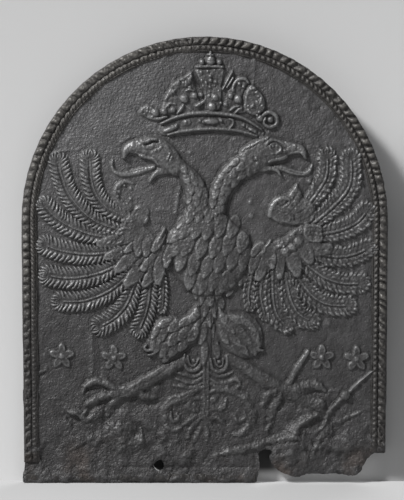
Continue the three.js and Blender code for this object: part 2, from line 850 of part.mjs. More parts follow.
const tailStem = [
  rod([[5, 286], [6, 256], [4, 226], [3, 208]], [11, 10, 8, 5], TAIL_RELIEF * 1.8, { steps: 6 }),
  rod([[3, 220], [3, 150], [2, 84]], [5, 4.5, 4], TAIL_RELIEF, { steps: 4 }),
  rod(
    [[-1, 206], [-16, 202], [-28, 188], [-20, 170], [-7, 177], [-1, 172]],
    [3, 4, 5, 5, 4, 3],
    TAIL_RELIEF,
    { steps: 9 },
  ),
  rod(
    [[7, 206], [20, 202], [34, 188], [25, 170], [12, 177], [6, 172]],
    [3, 4, 5, 5, 4, 3],
    TAIL_RELIEF,
    { steps: 9 },
  ),
  rod([[0, 168], [-20, 160], [-42, 164]], [3, 3.4, 2], TAIL_RELIEF * 0.8, { steps: 5 }),
  rod([[0, 157], [-22, 147], [-44, 153]], [3, 4, 2], TAIL_RELIEF * 0.8, { steps: 5 }),
  rod([[6, 168], [26, 161], [45, 165]], [3, 3.4, 2], TAIL_RELIEF * 0.8, { steps: 5 }),
  rod([[6, 157], [26, 147], [46, 150], [53, 140]], [3, 4, 3.4, 2], TAIL_RELIEF * 0.8, { steps: 7 }),
  rod([[0, 127], [-15, 128], [-23, 118], [-16, 109], [-10, 114]], [3, 3.4, 3.4, 3, 2], TAIL_RELIEF * 0.8, {
    steps: 8,
  }),
  rod([[6, 127], [21, 128], [30, 117], [22, 107], [15, 113]], [3, 3.4, 3.4, 3, 2], TAIL_RELIEF * 0.8, {
    steps: 8,
  }),
  rod([[1, 104], [-12, 90], [-26, 67]], [3, 5.5, 2], TAIL_RELIEF, { steps: 5 }),
  rod([[2, 98], [-2, 82], [-10, 63]], [3, 5, 2], TAIL_RELIEF, { steps: 4 }),
  rod([[3, 98], [10, 82], [14, 62]], [3, 5, 2], TAIL_RELIEF, { steps: 5 }),
  rod([[3, 104], [20, 94], [36, 78]], [3, 5.5, 2], TAIL_RELIEF, { steps: 5 }),
];

const tailLeftVolute = [
  rod(
    [[-1, 134], [-28, 136], [-52, 125], [-65, 104], [-59, 84], [-41, 80], [-34, 93], [-42, 104]],
    [4, 6, 6, 5.5, 5, 4.5, 4, 3],
    TAIL_RELIEF,
    { steps: 16 },
  ),
];

const tailRightVolute = [
  rod(
    [[7, 134], [34, 137], [60, 128], [75, 108], [72, 84], [54, 78], [46, 92], [55, 102]],
    [4, 6, 6, 5.5, 5, 4.5, 4, 3],
    TAIL_RELIEF,
    { steps: 16 },
  ),
];

const sceptre = [
  rod([[124, 146], [140, 174], [157, 200]], [5, 5, 3], REGALIA_RELIEF, { steps: 3 }),
];

const sword = [
  rod([[252, 168], [222, 141], [188, 106], [160, 90], [130, 74]], [2.5, 4, 5, 9, 9], REGALIA_RELIEF, {
    steps: 10,
  }),
  rod([[132, 75], [92, 60], [48, 48], [12, 39]], [7, 4.5, 4, 1.5], REGALIA_RELIEF, { steps: 5 }),
  rod([[236, 107], [206, 95], [184, 82], [170, 62], [160, 38]], [2, 3.6, 4.5, 4.5, 3], REGALIA_RELIEF, {
    steps: 8,
  }),
  rod([[188, 106], [182, 94], [180, 80]], [4, 4, 4], REGALIA_RELIEF, { steps: 3 }),
  boss([211, 131], 8, REGALIA_RELIEF * 1.5),
];

const orb = [boss([-118, 68], 25, REGALIA_RELIEF * 1.3, { flat: 0.95, corners: 14 })];

const ROSETTE_PLACES = [
  [-214, 190],
  [-136, 187],
  [176, 188],
  [228, 186],
];

function rosette([x, z]) {
  const petals = Array.from({ length: ROSETTE_PETALS }, (_, i) => {
    const a = Math.PI / 2 + (i / ROSETTE_PETALS) * 2 * Math.PI;
    const reach = ROSETTE_RADIUS / unitAcross / 2;
    const at = [x + reach * Math.cos(a), z + reach * Math.sin(a)];
    return boss(at, reach, ROSETTE_RELIEF, { flat: 0.62, turn: a });
  });
  return [...petals, boss([x, z], ROSETTE_EYE_RADIUS / unitAcross, ROSETTE_RELIEF * 1.5)];
}

// ---------------------------------------------------------------- the figures, from the topmost down

const feathers = (side, list) =>
  list.map((f, i) => [`${side}_feather_${i + 1}`, [{ kind: feather, height: FEATHER_RELIEF, ...f }]]);

// A figure that comes earlier here lies over the later ones, which end at its edge.
const figures = [
  ["crown_orb_and_cross", crownOrb],
  ["crown_band", crownBand],
  ["crown_arch", crownArch],
  ["crown_left_fleuron", crownLeftFleuron],
  ["crown_right_scroll", crownRightScroll],
  ["crown_left_cap", crownLeftCap],
  ["crown_right_cap", crownRightCap],
  ["left_head", leftHead],
  ["right_head", rightHead],
  ["left_neck", leftNeck],
  ["right_neck", rightNeck],
  ["left_tongue", leftTongue],
  ["right_tongue", rightTongue],
  ["breast", breast],
  ["left_wing_coverts", leftCoverts],
  ["right_wing_coverts", rightCoverts],
  ["left_wing_plume", leftPlume],
  ["right_wing_plume", rightPlume],
  ...feathers("left", LEFT_FEATHERS),
  ...feathers("right", RIGHT_FEATHERS),
  ["left_thigh", leftThigh],
  ["right_thigh", rightThigh],
  ["left_leg", leftLeg],
  ["right_leg", rightLeg],
  ["tail_stem", tailStem],
  ["tail_left_volute", tailLeftVolute],
  ["tail_right_volute", tailRightVolute],
  ["sceptre", sceptre],
  ["sword", sword],
  ["orb", orb],
  ...ROSETTE_PLACES.map((at, i) => [`rosette_${i + 1}`, rosette(at)]),
];

// The largest of a solid's separate bodies: a figure's crumbs beyond its neighbour are dropped.
const mainBody = (solid) => solid.decompose().reduce((a, b) => (b.volume() > a.volume() ? b : a));

// ---------------------------------------------------------------- materials and assembly

const iron = (name, color, roughness, metalness) =>
  new THREE.MeshStandardMaterial({ name, color, roughness, metalness });

const materials = {
  plate: () => iron("plate_iron", 0x3d3d40, 0.62, 0.75),
  moulding: () => iron("moulding_iron", 0x3f3e3a, 0.6, 0.7),
  relief: () => iron("relief_iron", 0x454548, 0.52, 0.8),
};

function meshOf(name, solid, material) {
  const mesh = new THREE.Mesh(toGeometry(solid), material);
  mesh.name = name;
  return mesh;
}

function fireback() {
  const group = new THREE.Group();
  group.add(meshOf("plate", plate(), materials.plate()));
  for (const [hand, side] of [["left", -1], ["right", 1]]) {
    group.add(meshOf(`${hand}_cable`, cable(side), materials.moulding()));
    group.add(meshOf(`${hand}_bead_row`, beadRow(side), materials.moulding()));
    group.add(meshOf(`${hand}_fillet`, fillet(side), materials.moulding()));
  }
  group.add(meshOf("foot_moulding", footMoulding(), materials.moulding()));
  const inside = field();
  let taken = null;
  for (const [name, pieces] of figures) {
    let solid = joined(pieces.map((p) => p.kind(p))).intersect(inside);
    if (taken) solid = solid.subtract(taken);
    group.add(meshOf(name, mainBody(solid), materials.relief()));
    const block = joined(pieces.map((p) => p.kind(p, FIGURE_GAP)));
    taken = taken ? taken.add(block) : block;
  }
  return group;
}

export default fireback();
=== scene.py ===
# %% [markdown]
# # A cast-iron fireback with a crowned double-headed eagle
#
# A fireback is one flat pour of iron. Its pattern was carved in wood and pressed into damp sand, so
# everything on its face can be lifted straight out of the mould: nothing is undercut. In other words the face
# is a height map. This lesson sculpts that height map with numpy, in millimetres, and then cuts it into one
# mesh for each piece of the pattern.

# %% The packed model and the units
import math

import bmesh
import bpy
import numpy as np
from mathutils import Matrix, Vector


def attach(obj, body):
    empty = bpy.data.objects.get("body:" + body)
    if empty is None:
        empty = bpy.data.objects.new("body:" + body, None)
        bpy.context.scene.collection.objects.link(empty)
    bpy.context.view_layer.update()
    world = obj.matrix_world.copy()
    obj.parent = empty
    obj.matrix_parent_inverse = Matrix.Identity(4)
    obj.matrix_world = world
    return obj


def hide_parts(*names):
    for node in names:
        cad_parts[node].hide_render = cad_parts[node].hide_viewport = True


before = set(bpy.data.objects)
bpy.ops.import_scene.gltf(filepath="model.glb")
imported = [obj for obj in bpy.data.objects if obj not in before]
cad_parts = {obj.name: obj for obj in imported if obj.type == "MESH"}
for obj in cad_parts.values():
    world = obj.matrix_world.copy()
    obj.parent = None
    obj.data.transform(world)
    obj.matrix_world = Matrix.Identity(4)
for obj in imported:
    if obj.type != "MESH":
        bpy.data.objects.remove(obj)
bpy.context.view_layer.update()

MM = 0.001
FRONT = -8.0  # the plane the relief stands on, in millimetres
BACK = 8.0
ARCH = 275.0  # radius of the half circle at the top
SPRING = 395.0  # height at which it starts
HEIGHT = SPRING + ARCH
FOOT_HALF = 271.0
print("nodes in the model:", len(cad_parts))

# %% [markdown]
# ## The camera
#
# The photograph looks square at the plate, from far away: the arch is a true half circle and both sides are
# parallel. A long lens three metres off gives the same flat look. One pixel of the picture is 1.5 mm of iron,
# which sets the lens.

# %% The camera
PIXEL_MM = 1.5
IMAGE_W, IMAGE_H = 404, 500
VIEW_X, VIEW_Z = -4.1, 349.5  # the point of the plate in the middle of the picture
DISTANCE = 3000.0

lens_data = bpy.data.cameras.new("camera")
lens_data.sensor_fit = "VERTICAL"
lens_data.sensor_height = 24.0
lens_data.sensor_width = 24.0
lens_data.lens = 24.0 * DISTANCE / (IMAGE_H * PIXEL_MM)
camera = bpy.data.objects.new("camera", lens_data)
camera.location = (VIEW_X * MM, (FRONT - DISTANCE) * MM, VIEW_Z * MM)
camera.rotation_euler = (math.pi / 2, 0, 0)
bpy.context.scene.collection.objects.link(camera)
bpy.context.scene.camera = camera
print("lens:", round(lens_data.lens, 1), "mm")

# %% [markdown]
# ## The canvas
#
# The canvas is a grid of heights above the plate, one every 0.8 mm, which is half a pixel of the photograph.
# Every figure is drawn on a small window of it. A second grid remembers which figure owns each point.

# %% The canvas and a window on it
STEP = 0.8
LEFT, RIGHT, TOP = -276.0, 276.0, 672.0
xs = np.arange(LEFT, RIGHT + STEP, STEP)
zs = np.arange(0.0, TOP + STEP, STEP)
COLS, ROWS = len(xs), len(zs)
canvas = np.zeros((ROWS, COLS))
owner = np.zeros((ROWS, COLS), dtype=int)
OUTSIDE = -9.0  # height of a point that a figure doesn't reach
print("canvas:", COLS, "by", ROWS)


# %% Blurring, and smooth noise made of it
def blurred(values, radius):
    """The same grid of values, softened by a Gaussian of this radius in millimetres."""
    fx = np.fft.rfftfreq(values.shape[1], STEP)
    fz = np.fft.fftfreq(values.shape[0], STEP)
    keep = np.exp(-2 * (math.pi * radius) ** 2 * (fz[:, None] ** 2 + fx[None, :] ** 2))
    return np.fft.irfft2(np.fft.rfft2(values) * keep, s=values.shape)


def grain(size, seed):
    """Smooth random bumps about this wide, with a spread of 1."""
    noise = np.random.default_rng(seed).normal(size=(ROWS, COLS))
    soft = blurred(noise, size / 3)
    return soft / soft.std()


print("spread of the noise:", round(float(grain(30.0, 14).std()), 3))

# %% [markdown]
# ## Drawing tools
#
# A carver cuts with a few moves again and again, and so does this script: a smooth line through a few
# points, a rounded ridge along a line, a cushion over an outline, a round boss, a feather, and a leaf-shaped
# scale. Each shape is a height for every point of the window. It is laid on the figure, where the higher
# surface wins, or pressed into what is already there.

# %% Smooth lines and outlines
def smooth_line(points, closed=False, parts=7):
    """A Catmull-Rom curve through the points."""
    p = np.array(points, dtype=float)
    n = len(p)
    if closed:
        before, here, after, beyond = (np.roll(p, k, axis=0) for k in (1, 0, -1, -2))
    else:
        before = np.vstack([p[:1], p[:-1]])[: n - 1]
        here, after = p[:-1], p[1:]
        beyond = np.vstack([p[2:], p[-1:]])
    out = []
    for a, b, c, d in zip(before, here, after, beyond):
        for k in range(parts):
            t = k / parts
            out.append(0.5 * (2 * b + (c - a) * t + (2 * a - 5 * b + 4 * c - d) * t * t
                              + (3 * b - a - 3 * c + d) * t ** 3))
    if not closed:
        out.append(p[-1])
    return np.array(out)


def nearest(line, x, z):
    """For every point: how far along the line its nearest spot lies, how far off, and on which side."""
    best = np.full(x.shape, 1e12)
    run = np.zeros(x.shape)
    side = np.zeros(x.shape)
    done = 0.0
    for (ax, az), (bx, bz) in zip(line[:-1], line[1:]):
        dx, dz = bx - ax, bz - az
        length = math.hypot(dx, dz)
        if length < 1e-6:
            continue
        t = np.clip(((x - ax) * dx + (z - az) * dz) / length ** 2, 0, 1)
        ox, oz = x - ax - t * dx, z - az - t * dz
        off = ox * ox + oz * oz
        closer = off < best
        best = np.where(closer, off, best)
        run = np.where(closer, done + t * length, run)
        side = np.where(closer, np.sign(dx * oz - dz * ox), side)
        done += length
    return run, np.sqrt(best), side, done


def within(outline, x, z):
    """True for the points inside a closed outline."""
    inside = np.zeros(x.shape, dtype=bool)
    for (ax, az), (bx, bz) in zip(outline, np.roll(outline, -1, axis=0)):
        if az == bz:
            continue
        crosses = (az > z) != (bz > z)
        inside ^= crosses & (x < (bx - ax) * (z - az) / (bz - az) + ax)
    return inside


print("a line through 3 points has", len(smooth_line([[0, 0], [5, 5], [10, 0]])), "points")

# %% The window that a figure is drawn on
class Window:
    """A figure of the relief, on its own window of the canvas."""

    def __init__(self, name, left, right, bottom, top, margin=6.0):
        self.name = name
        self.c0 = max(0, int((left - margin - LEFT) / STEP))
        self.c1 = min(COLS, int((right + margin - LEFT) / STEP) + 1)
        self.r0 = max(0, int((bottom - margin) / STEP))
        self.r1 = min(ROWS, int((top + margin) / STEP) + 1)
        self.x, self.z = np.meshgrid(xs[self.c0:self.c1], zs[self.r0:self.r1])
        self.h = np.full(self.x.shape, OUTSIDE)

    def window(self, values):
        """The part of a canvas-sized array that lies under this figure."""
        return values[self.r0:self.r1, self.c0:self.c1]

    def lay(self, heights):
        """Lays more material on the figure: the higher surface wins."""
        self.h = np.maximum(self.h, heights)

    def press(self, depth):
        """Raises (or, below zero, carves) what is already there."""
        self.h = np.where(self.h > 0, np.maximum(self.h + depth, 0.3), self.h)

    def along(self, points, widths, height, power=0.5, ends=None):
        """A rounded ridge along a smooth line. widths are half-widths from its start to its end."""
        run, off, _, total = nearest(smooth_line(points), self.x, self.z)
        t = run / total
        half = np.interp(t, np.linspace(0, 1, len(widths)), widths)
        rise = height if ends is None else np.interp(t, np.linspace(0, 1, len(ends)), ends) * height
        body = np.clip(1 - (off / half) ** 2, 0, 1) ** power
        return np.where(off < half, rise * body, OUTSIDE)

    def round_spot(self, cx, cz, radius, height, flat=1.0, turn=0.0, power=0.5):
        """A round or oval boss."""
        dx, dz = self.x - cx, self.z - cz
        u = dx * math.cos(turn) + dz * math.sin(turn)
        v = (dz * math.cos(turn) - dx * math.sin(turn)) / flat
        q = (u * u + v * v) / radius ** 2
        return np.where(q < 1, height * np.clip(1 - q, 0, 1) ** power, OUTSIDE)


print("a window 10 mm wide with its margin:", Window("test", 0, 10, 0, 10).x.shape)


# %% The carver's moves
class Carver(Window):
    """Ridges, grooves, bosses and cushions."""

    def ridge(self, *drawn):
        """Lays a rounded ridge along a line."""
        self.lay(self.along(*drawn))

    def swell(self, *drawn):
        """Raises what is already there by a rounded ridge."""
        self.press(np.maximum(self.along(*drawn), 0))

    def groove(self, points, width, depth):
        """Presses a V-shaped cut along a smooth line."""
        _, off, _, _ = nearest(smooth_line(points), self.x, self.z)
        self.press(-depth * np.clip(1 - off / width, 0, 1))

    def boss(self, cx, cz, radius, height, flat=1.0, turn=0.0, power=0.5):
        """Lays a round or oval boss."""
        self.lay(self.round_spot(cx, cz, radius, height, flat, turn, power))

    def bump(self, cx, cz, radius, height, flat=1.0, turn=0.0):
        """Raises what is already there by a boss, or dishes it where the height is below zero."""
        self.press(height * np.maximum(self.round_spot(cx, cz, radius, 1.0, flat, turn), 0))

    def cushion(self, outline, height, shoulder, crown=0.0):
        """Lays a cushion: a quarter-round shoulder all round, and a crown that rises to its middle."""
        edge = smooth_line(outline, closed=True, parts=4)
        _, off, _, _ = nearest(np.vstack([edge, edge[:1]]), self.x, self.z)
        inside = within(edge, self.x, self.z)
        deepest = off[inside].max() if inside.any() else 1.0
        roll = np.sqrt(1 - (1 - np.clip(off / shoulder, 0, 1)) ** 2)
        dome = crown * np.sin(off / deepest * math.pi / 2)
        self.lay(np.where(inside, height * roll + dome, OUTSIDE))

    def ring(self, cx, cz, radius, width, height, flat=1.0, turn=0.0):
        """Raises a round or oval ring on what is already there."""
        dx, dz = self.x - cx, self.z - cz
        u = dx * math.cos(turn) + dz * math.sin(turn)
        v = (dz * math.cos(turn) - dx * math.sin(turn)) / flat
        off = np.abs(np.hypot(u, v) - radius)
        self.press(np.clip(1 - (off / width) ** 2, 0, 1) * height)


print("moves of the carver:", [m for m in vars(Carver) if not m.startswith("_")])


# %% [markdown]
# ## Plumage
#
# Scales, flight feathers and short feathers come again and again on the bird, so each is a move of its own. A
# leaf is highest at its tip, so taking the higher of two leaves is enough to make them overlap. A flight
# feather is one wave along its quill: a barb for each crest, leaning the further out the further ahead.

# %% Leaves and feathers
class Figure(Carver):
    """A figure that can also wear plumage."""

    def leaf(self, cx, cz, length, width, turn, lift, power=0.65):
        """A leaf that hangs from its root and lifts towards its tip, like a roof tile, with fine streaks."""
        dx, dz = self.x - cx, self.z - cz
        u = (dx * math.sin(turn) - dz * math.cos(turn)) / length + 0.5
        v = (dx * math.cos(turn) + dz * math.sin(turn)) / (width / 2)
        half = np.clip(np.sin(math.pi * np.clip(u, 0, 1) ** 0.85), 0.001, 1) ** power
        q = np.abs(v) / half
        face = np.clip(1 - q ** 7, 0, 1) ** 0.5 * (1 - 0.16 * q * q) + 0.05 * np.cos(9 * v)
        rise = lift * (0.34 + 0.66 * np.clip(u, 0, 1)) * face
        return np.where((u > 0) & (u < 1) & (q < 1), rise, -1.0)

    def scales(self, leaves, lift, power=0.65):
        """Overlapping leaves on the figure: each is (x, z, length, width, turn)."""
        ground = np.maximum(self.h, 0.0)
        covered = np.full(self.h.shape, -1.0)
        for cx, cz, length, width, turn in leaves:
            covered = np.maximum(covered, self.leaf(cx, cz, length, width, turn, lift, power))
        self.h = np.where(covered > 0, ground + covered, self.h)

    def feather(self, points, half_width, height, pitch, slant, crumbled):
        """Lays a flight feather: a quill, and on each side plump barbs that lean towards the tip."""
        line = smooth_line(points)
        steps = np.hypot(*np.diff(line, axis=0).T)
        run_to = np.concatenate([[0], np.cumsum(steps)])
        end = run_to[-1] - 0.8 * half_width
        tip = np.array([np.interp(end, run_to, line[:, k]) for k in (0, 1)])
        line = np.vstack([line[run_to < end], tip])
        run, off, side, total = nearest(line, self.x, self.z)
        t = run / total
        ahead = line[-1] - line[-2]
        ahead = ahead / np.hypot(*ahead)
        past = (self.x - tip[0]) * ahead[0] + (self.z - tip[1]) * ahead[1]
        across = np.abs((self.z - tip[1]) * ahead[0] - (self.x - tip[0]) * ahead[1])
        fan = np.where(past > 0, np.arctan2(np.maximum(past, 0), across + 1e-6), 0)
        half = half_width * (0.55 + 0.45 * np.sin(np.clip(t / 0.55, 0, 1) * math.pi / 2))
        # one barb for each turn of phase: it counts along the quill and then round the tip
        lean = slant * off * (0.6 + 0.6 * off / half)
        shaken = self.window(shake) * crumbled
        below = -side * np.sign(line[-1][0] - line[0][0])
        phase = (run - lean + 0.9 * half_width * fan) / pitch + 0.25 * side + 0.14 * shaken
        phase += 0.13 * self.window(jitter) * (1 - crumbled)
        wave = np.clip(0.58 + 0.7 * np.cos(2 * math.pi * phase), 0, 1) ** 0.6
        edge = half * (1 - 0.26 * (1 - 0.6 * crumbled) * (1 - wave) + 0.05 * shaken)
        q = np.clip(off / edge, 0, 1)
        broken_up = np.clip(0.55 + 0.55 * np.cos(2 * math.pi * (2 * q - 0.62)) + 0.2 * shaken, 0, 1.15)
        lobes = wave * (1 - crumbled + crumbled * broken_up) * (0.94 + 0.12 * below)
        lobes *= 1 + 0.14 * self.window(own_height)
        swell = np.clip((q - 0.16) / 0.4, 0, 1) ** 0.8 * (1 - q ** 6) ** 0.5
        quill_half = np.interp(t, [0, 1], [2.2, 1.2]) * (1 + 0.25 * crumbled)
        quill = np.clip(1 - (off / quill_half) ** 2, 0, 1) * (t < 0.97)
        trench = np.exp(-((off - quill_half - 0.9) / 1.1) ** 2) * (t < 0.97) * (1.3 + 0.9 * below)
        base = 0.38 * (1 - q ** 8) ** 0.5
        barbs = (0.66 - 0.12 * crumbled) * lobes * swell
        h = height * (1 - 0.2 * t) * (base + barbs + (0.22 + 0.16 * crumbled) * quill - 0.12 * trench)
        self.lay(np.where(off < edge, np.maximum(h, 0.4), OUTSIDE))

    def covert(self, points, half_width, height):
        """Lays a short smooth feather over the others: low at its root, high at its round tip."""
        line = smooth_line(points)
        run, off, _, total = nearest(line, self.x, self.z)
        t = run / total
        half = half_width * np.interp(t, [0, 0.4, 0.75, 1], [0.75, 1.05, 1.0, 0.62])
        q = np.clip(off / half, 0, 1)
        face = (1 - q ** 6) ** 0.5 * (0.88 + 0.12 * q ** 2)
        shadow = 1.4 * np.clip(1 - (off - half) / 1.7, 0, 1) * np.clip(t / 0.3, 0, 1)
        self.h = np.where(off < half, np.maximum(height * (0.42 + 0.58 * t) * face, 0.8 * self.h),
                          self.h - shadow * (self.h > shadow + 0.5))


print("kinds of plumage:", [m for m in vars(Figure) if not m.startswith("_")])

# %% The list of figures, and the noise that makes each barb a little different
figures = []
shake = grain(5.0, 77)  # breaks a barb up where the sand crumbled
jitter = grain(9.0, 78)  # moves a barb along the quill
own_height = grain(6.0, 79)  # makes a barb a little higher or lower


def new_figure(name, left, right, bottom, top):
    """An empty figure between these edges, in millimetres, added to the list of figures."""
    figures.append(Figure(name, left, right, bottom, top))
    return figures[-1]


def tell(count):
    """Prints how high the last figures stand above the field."""
    for figure in figures[-count:]:
        print(figure.name, "rises", round(float(figure.h.max()), 1), "mm")


print("noise on the barbs:", shake.shape)

# %% [markdown]
# ## The wings
#
# Each wing is a fan of long flight feathers under short smooth ones. The left wing came out of the sand
# crisp. In the right one the sand had crumbled, so its barbs are coarser and broken up.

# %% The flight feathers
FEATHER_RISE = 5.2
BARB_SLANT = 0.48  # how far a barb leans ahead, for each millimetre away from the quill
LEFT_BARB_PITCH, RIGHT_BARB_PITCH = 6.5, 7.6

left_feathers = [([[-112, 397], [-148, 414], [-168, 447], [-172, 498]], 15.5),
                 ([[-128, 379], [-172, 398], [-206, 438], [-222, 494]], 16.0),
                 ([[-128, 366], [-175, 374], [-218, 394], [-247, 425]], 16.0),
                 ([[-130, 347], [-172, 343], [-215, 348], [-250, 361]], 17.0),
                 ([[-118, 333], [-160, 314], [-205, 307], [-247, 314]], 17.0),
                 ([[-104, 321], [-140, 290], [-182, 273], [-228, 273]], 16.0),
                 ([[-102, 306], [-117, 268], [-138, 245], [-168, 230]], 17.0),
                 ([[-80, 312], [-84, 272], [-91, 246], [-103, 219]], 15.0),
                 ([[-62, 314], [-62, 276], [-65, 254]], 8.3)]
right_feathers = [([[148, 408], [167, 433], [183, 462], [184, 501]], 15.0),
                  ([[158, 386], [192, 414], [218, 448], [219, 501]], 17.0),
                  ([[164, 372], [200, 378], [230, 392], [250, 418]], 17.0),
                  ([[156, 350], [188, 340], [222, 342], [256, 358]], 17.0),
                  ([[148, 332], [178, 309], [210, 299], [247, 301]], 17.0),
                  ([[136, 314], [160, 282], [188, 267], [228, 267]], 16.5),
                  ([[122, 308], [130, 272], [146, 250], [172, 241]], 16.5),
                  ([[102, 316], [103, 274], [111, 248], [131, 230]], 15.5),
                  ([[88, 318], [84, 280], [93, 243]], 10.2), ([[72, 316], [66, 284], [69, 257]], 9.7)]


def feather_figures(hand, feathers, pitch, crumbled):
    """Draws one figure for each flight feather of a wing."""
    for number, (points, half_width) in enumerate(feathers, 1):
        p = np.array(points)
        low, high = p.min(axis=0) - half_width, p.max(axis=0) + half_width
        figure = new_figure(f"{hand}_feather_{number}", low[0], high[0], low[1], high[1])
        figure.feather(points, half_width, FEATHER_RISE, pitch, BARB_SLANT, crumbled)


feather_figures("left", left_feathers, LEFT_BARB_PITCH, 0.15)
feather_figures("right", right_feathers, RIGHT_BARB_PITCH, 0.8)
print("flight feathers:", len(figures))

# %% [markdown]
# The short feathers overlap like shingles: each is low at its root and high at its round tip, and it presses
# a thin dark line into what lies beside it. The wrist above them is a heap of small bosses with a curl.

# %% The short feathers and the curled wrist of the left wing
coverts = new_figure("left_wing_coverts", -172, -46, 288, 396)
coverts.ridge([[-60, 344], [-82, 352], [-98, 366], [-108, 384]], [12, 18, 20, 14], 3.0, 0.3)
for drawn in [([[-104, 368], [-136, 363], [-158, 359]], 9.0, 5.4),
              ([[-100, 352], [-126, 345], [-146, 339]], 9.0, 5.8),
              ([[-90, 352], [-108, 338], [-130, 321]], 11.0, 6.4),
              ([[-84, 338], [-101, 316], [-116, 300]], 11.5, 6.6),
              ([[-64, 350], [-80, 332], [-92, 322]], 9.5, 7.0),
              ([[-68, 334], [-80, 312], [-90, 298]], 9.0, 6.8),
              ([[-62, 344], [-68, 320], [-70, 302]], 9.0, 7.0),
              ([[-50, 356], [-55, 340], [-58, 326]], 7.0, 6.8),
              ([[-98, 362], [-112, 352], [-118, 347]], 6.0, 6.0),
              ([[-100, 368], [-99, 352], [-100, 343]], 8.0, 5.6),
              ([[-86, 368], [-86, 352], [-88, 343]], 8.0, 5.6),
              ([[-62, 372], [-72, 356], [-77, 349]], 6.5, 6.2)]:
    coverts.covert(*drawn)
coverts.ridge([[-60, 381], [-66, 370], [-74, 354]], [2.4, 3.0, 3.4], 4.6)
coverts.ridge([[-131, 368], [-129, 377], [-121, 382], [-111, 381]], [2.4, 3, 3, 2], 4.4)
coverts.boss(-118, 371, 12.5, 3.4, 1, 0, 0.3)

plume = new_figure("left_wing_plume", -145, -74, 376, 462)
plume.ridge([[-108, 450], [-119, 452], [-129, 446], [-134, 436], [-132, 424], [-124, 416], [-112, 414]],
            [2.5, 3.5, 4.4, 5.0, 5.5, 6, 6], 2.6, 0.6)
plume.ridge([[-112, 412], [-126, 408], [-138, 413], [-150, 426]], [5, 6, 5, 3], 2.6, 0.5)
for spot in [(-95, 405, 12.5, 3.4), (-105, 392, 15, 4.0), (-92, 397, 9, 4.2), (-117, 388, 9, 3.2)]:
    plume.boss(*spot, power=0.35)
for points, width, height in [([[-105, 406], [-103, 411], [-97, 413]], 1.8, 1.6),
                              ([[-120, 387], [-117, 394], [-110, 397]], 1.8, 1.6),
                              ([[-89, 391], [-86, 395], [-85, 398]], 2.0, 1.4),
                              ([[-121, 402], [-114, 399], [-106, 402]], 1.6, 0.9)]:
    plume.swell(points, [width, width], height)
for spot in [(-128.5, 437, 3.0), (-111, 441.5, 2.6), (-111.5, 426.5, 2.2), (-120, 446, 2.0),
             (-121, 418, 2.2), (-116, 419, 2.0), (-124, 423, 2.0), (-130, 430, 2.2)]:
    plume.boss(*spot, 3.4)
plume.groove([[-127, 429], [-120, 424], [-111, 422]], 2.2, 1.6)
plume.groove([[-138, 418], [-128, 410], [-114, 406], [-104, 404]], 1.8, 1.2)
tell(2)

# %% The short feathers and the wrist of the right wing
coverts = new_figure("right_wing_coverts", 52, 194, 292, 392)
coverts.ridge([[74, 338], [94, 346], [112, 352], [130, 364], [148, 380]], [9, 12, 12, 10, 8], 3.4, 0.3)
coverts.cushion([[149, 366], [149, 388], [160, 389], [174, 387], [177, 375], [176, 362], [162, 360]],
                5.6, 2.4)
for level in (381, 375.5, 369.5):
    coverts.groove([[153, level + 1], [164, level + 1.5], [175, level]], 1.6, 0.9)
coverts.cushion([[156, 360], [164, 340], [190, 344], [192, 358], [175, 361]], 4.0, 3.0)
for drawn in [([[143, 364], [151, 348], [157, 335]], 12.5, 6.4),
              ([[129, 350], [134, 332], [138, 315]], 12.0, 6.8),
              ([[114, 348], [113, 326], [112, 310]], 8.0, 5.8),
              ([[98, 352], [100, 336], [101, 325]], 8.5, 6.2),
              ([[94, 340], [86, 322], [80, 308]], 9.5, 6.4), ([[80, 350], [74, 332], [70, 318]], 8.0, 6.0),
              ([[86, 358], [77, 350], [72, 342]], 6.0, 5.2)]:
    coverts.covert(*drawn)
coverts.ridge([[106, 352], [118, 358], [128, 366], [136, 378]], [4.4, 5.2, 4.6, 3.2], 4.6, 0.6)
for spot in [(111, 355, 3.4), (117, 361, 2.6), (119, 355, 3.0), (125, 365, 3.4), (129, 371, 2.6),
             (134, 376, 2.8)]:
    coverts.boss(*spot, 6.2, 0.8, 0.7, 0.6)
for spot in [(141, 361, 9.0), (122, 347, 9.0), (132, 353, 8.0)]:
    coverts.boss(*spot, 6.2, power=0.5)
coverts.ridge([[99, 364], [96, 359], [92, 354]], [1.6, 2.0, 1.4], 3.6)

plume = new_figure("right_wing_plume", 92, 170, 382, 452)
plume.cushion([[95, 401], [98, 414], [107, 425], [118, 431], [131, 436], [138, 450], [144, 440], [149, 428],
               [160, 424], [167, 412], [166, 396], [156, 388], [140, 386], [125, 386.5], [110, 389.5]],
              3.8, 7.0, 1.6)
plume.ridge([[98, 402], [101, 413], [108, 422], [118, 427], [127, 424], [125, 415], [117, 412]],
            [5, 5.5, 5.5, 5, 4, 3.4, 2.6], 5.4, 0.5)
plume.ridge([[128, 428], [134, 438], [138, 447]], [5, 4, 2], 4.4)
plume.groove([[110, 418], [116, 415], [119, 417], [125, 422]], 2.4, 2.0)
plume.ring(122, 397.5, 6.0, 1.8, 0.7)
plume.groove([[134.6, 401], [135, 394]], 2.2, 2.4)
for start, middle, end in [([141, 444], [136, 430], [124, 414]), ([148, 432], [141, 420], [129, 407]),
                           ([158, 424], [150, 411], [136, 403]), ([165, 408], [156, 398], [144, 392])]:
    plume.groove([start, middle, end], 2.0, 0.9)
plume.swell([[163, 399], [158, 392], [150, 389]], [1.6, 2.2, 1.6], 1.4)
tell(2)

# %% [markdown]
# ## Heads, necks and breast
#
# The breast and necks carry leaf-shaped scales that overlap like roof tiles, with their tips hanging down.
# Under them lies a plain cushion or ridge, which gives the body its roundness.

# %% The breast
def sized(length, width, spots):
    """Leaves of one size: each spot is (x, z, turn)."""
    return [(x, z, length, width, turn) for x, z, turn in spots]


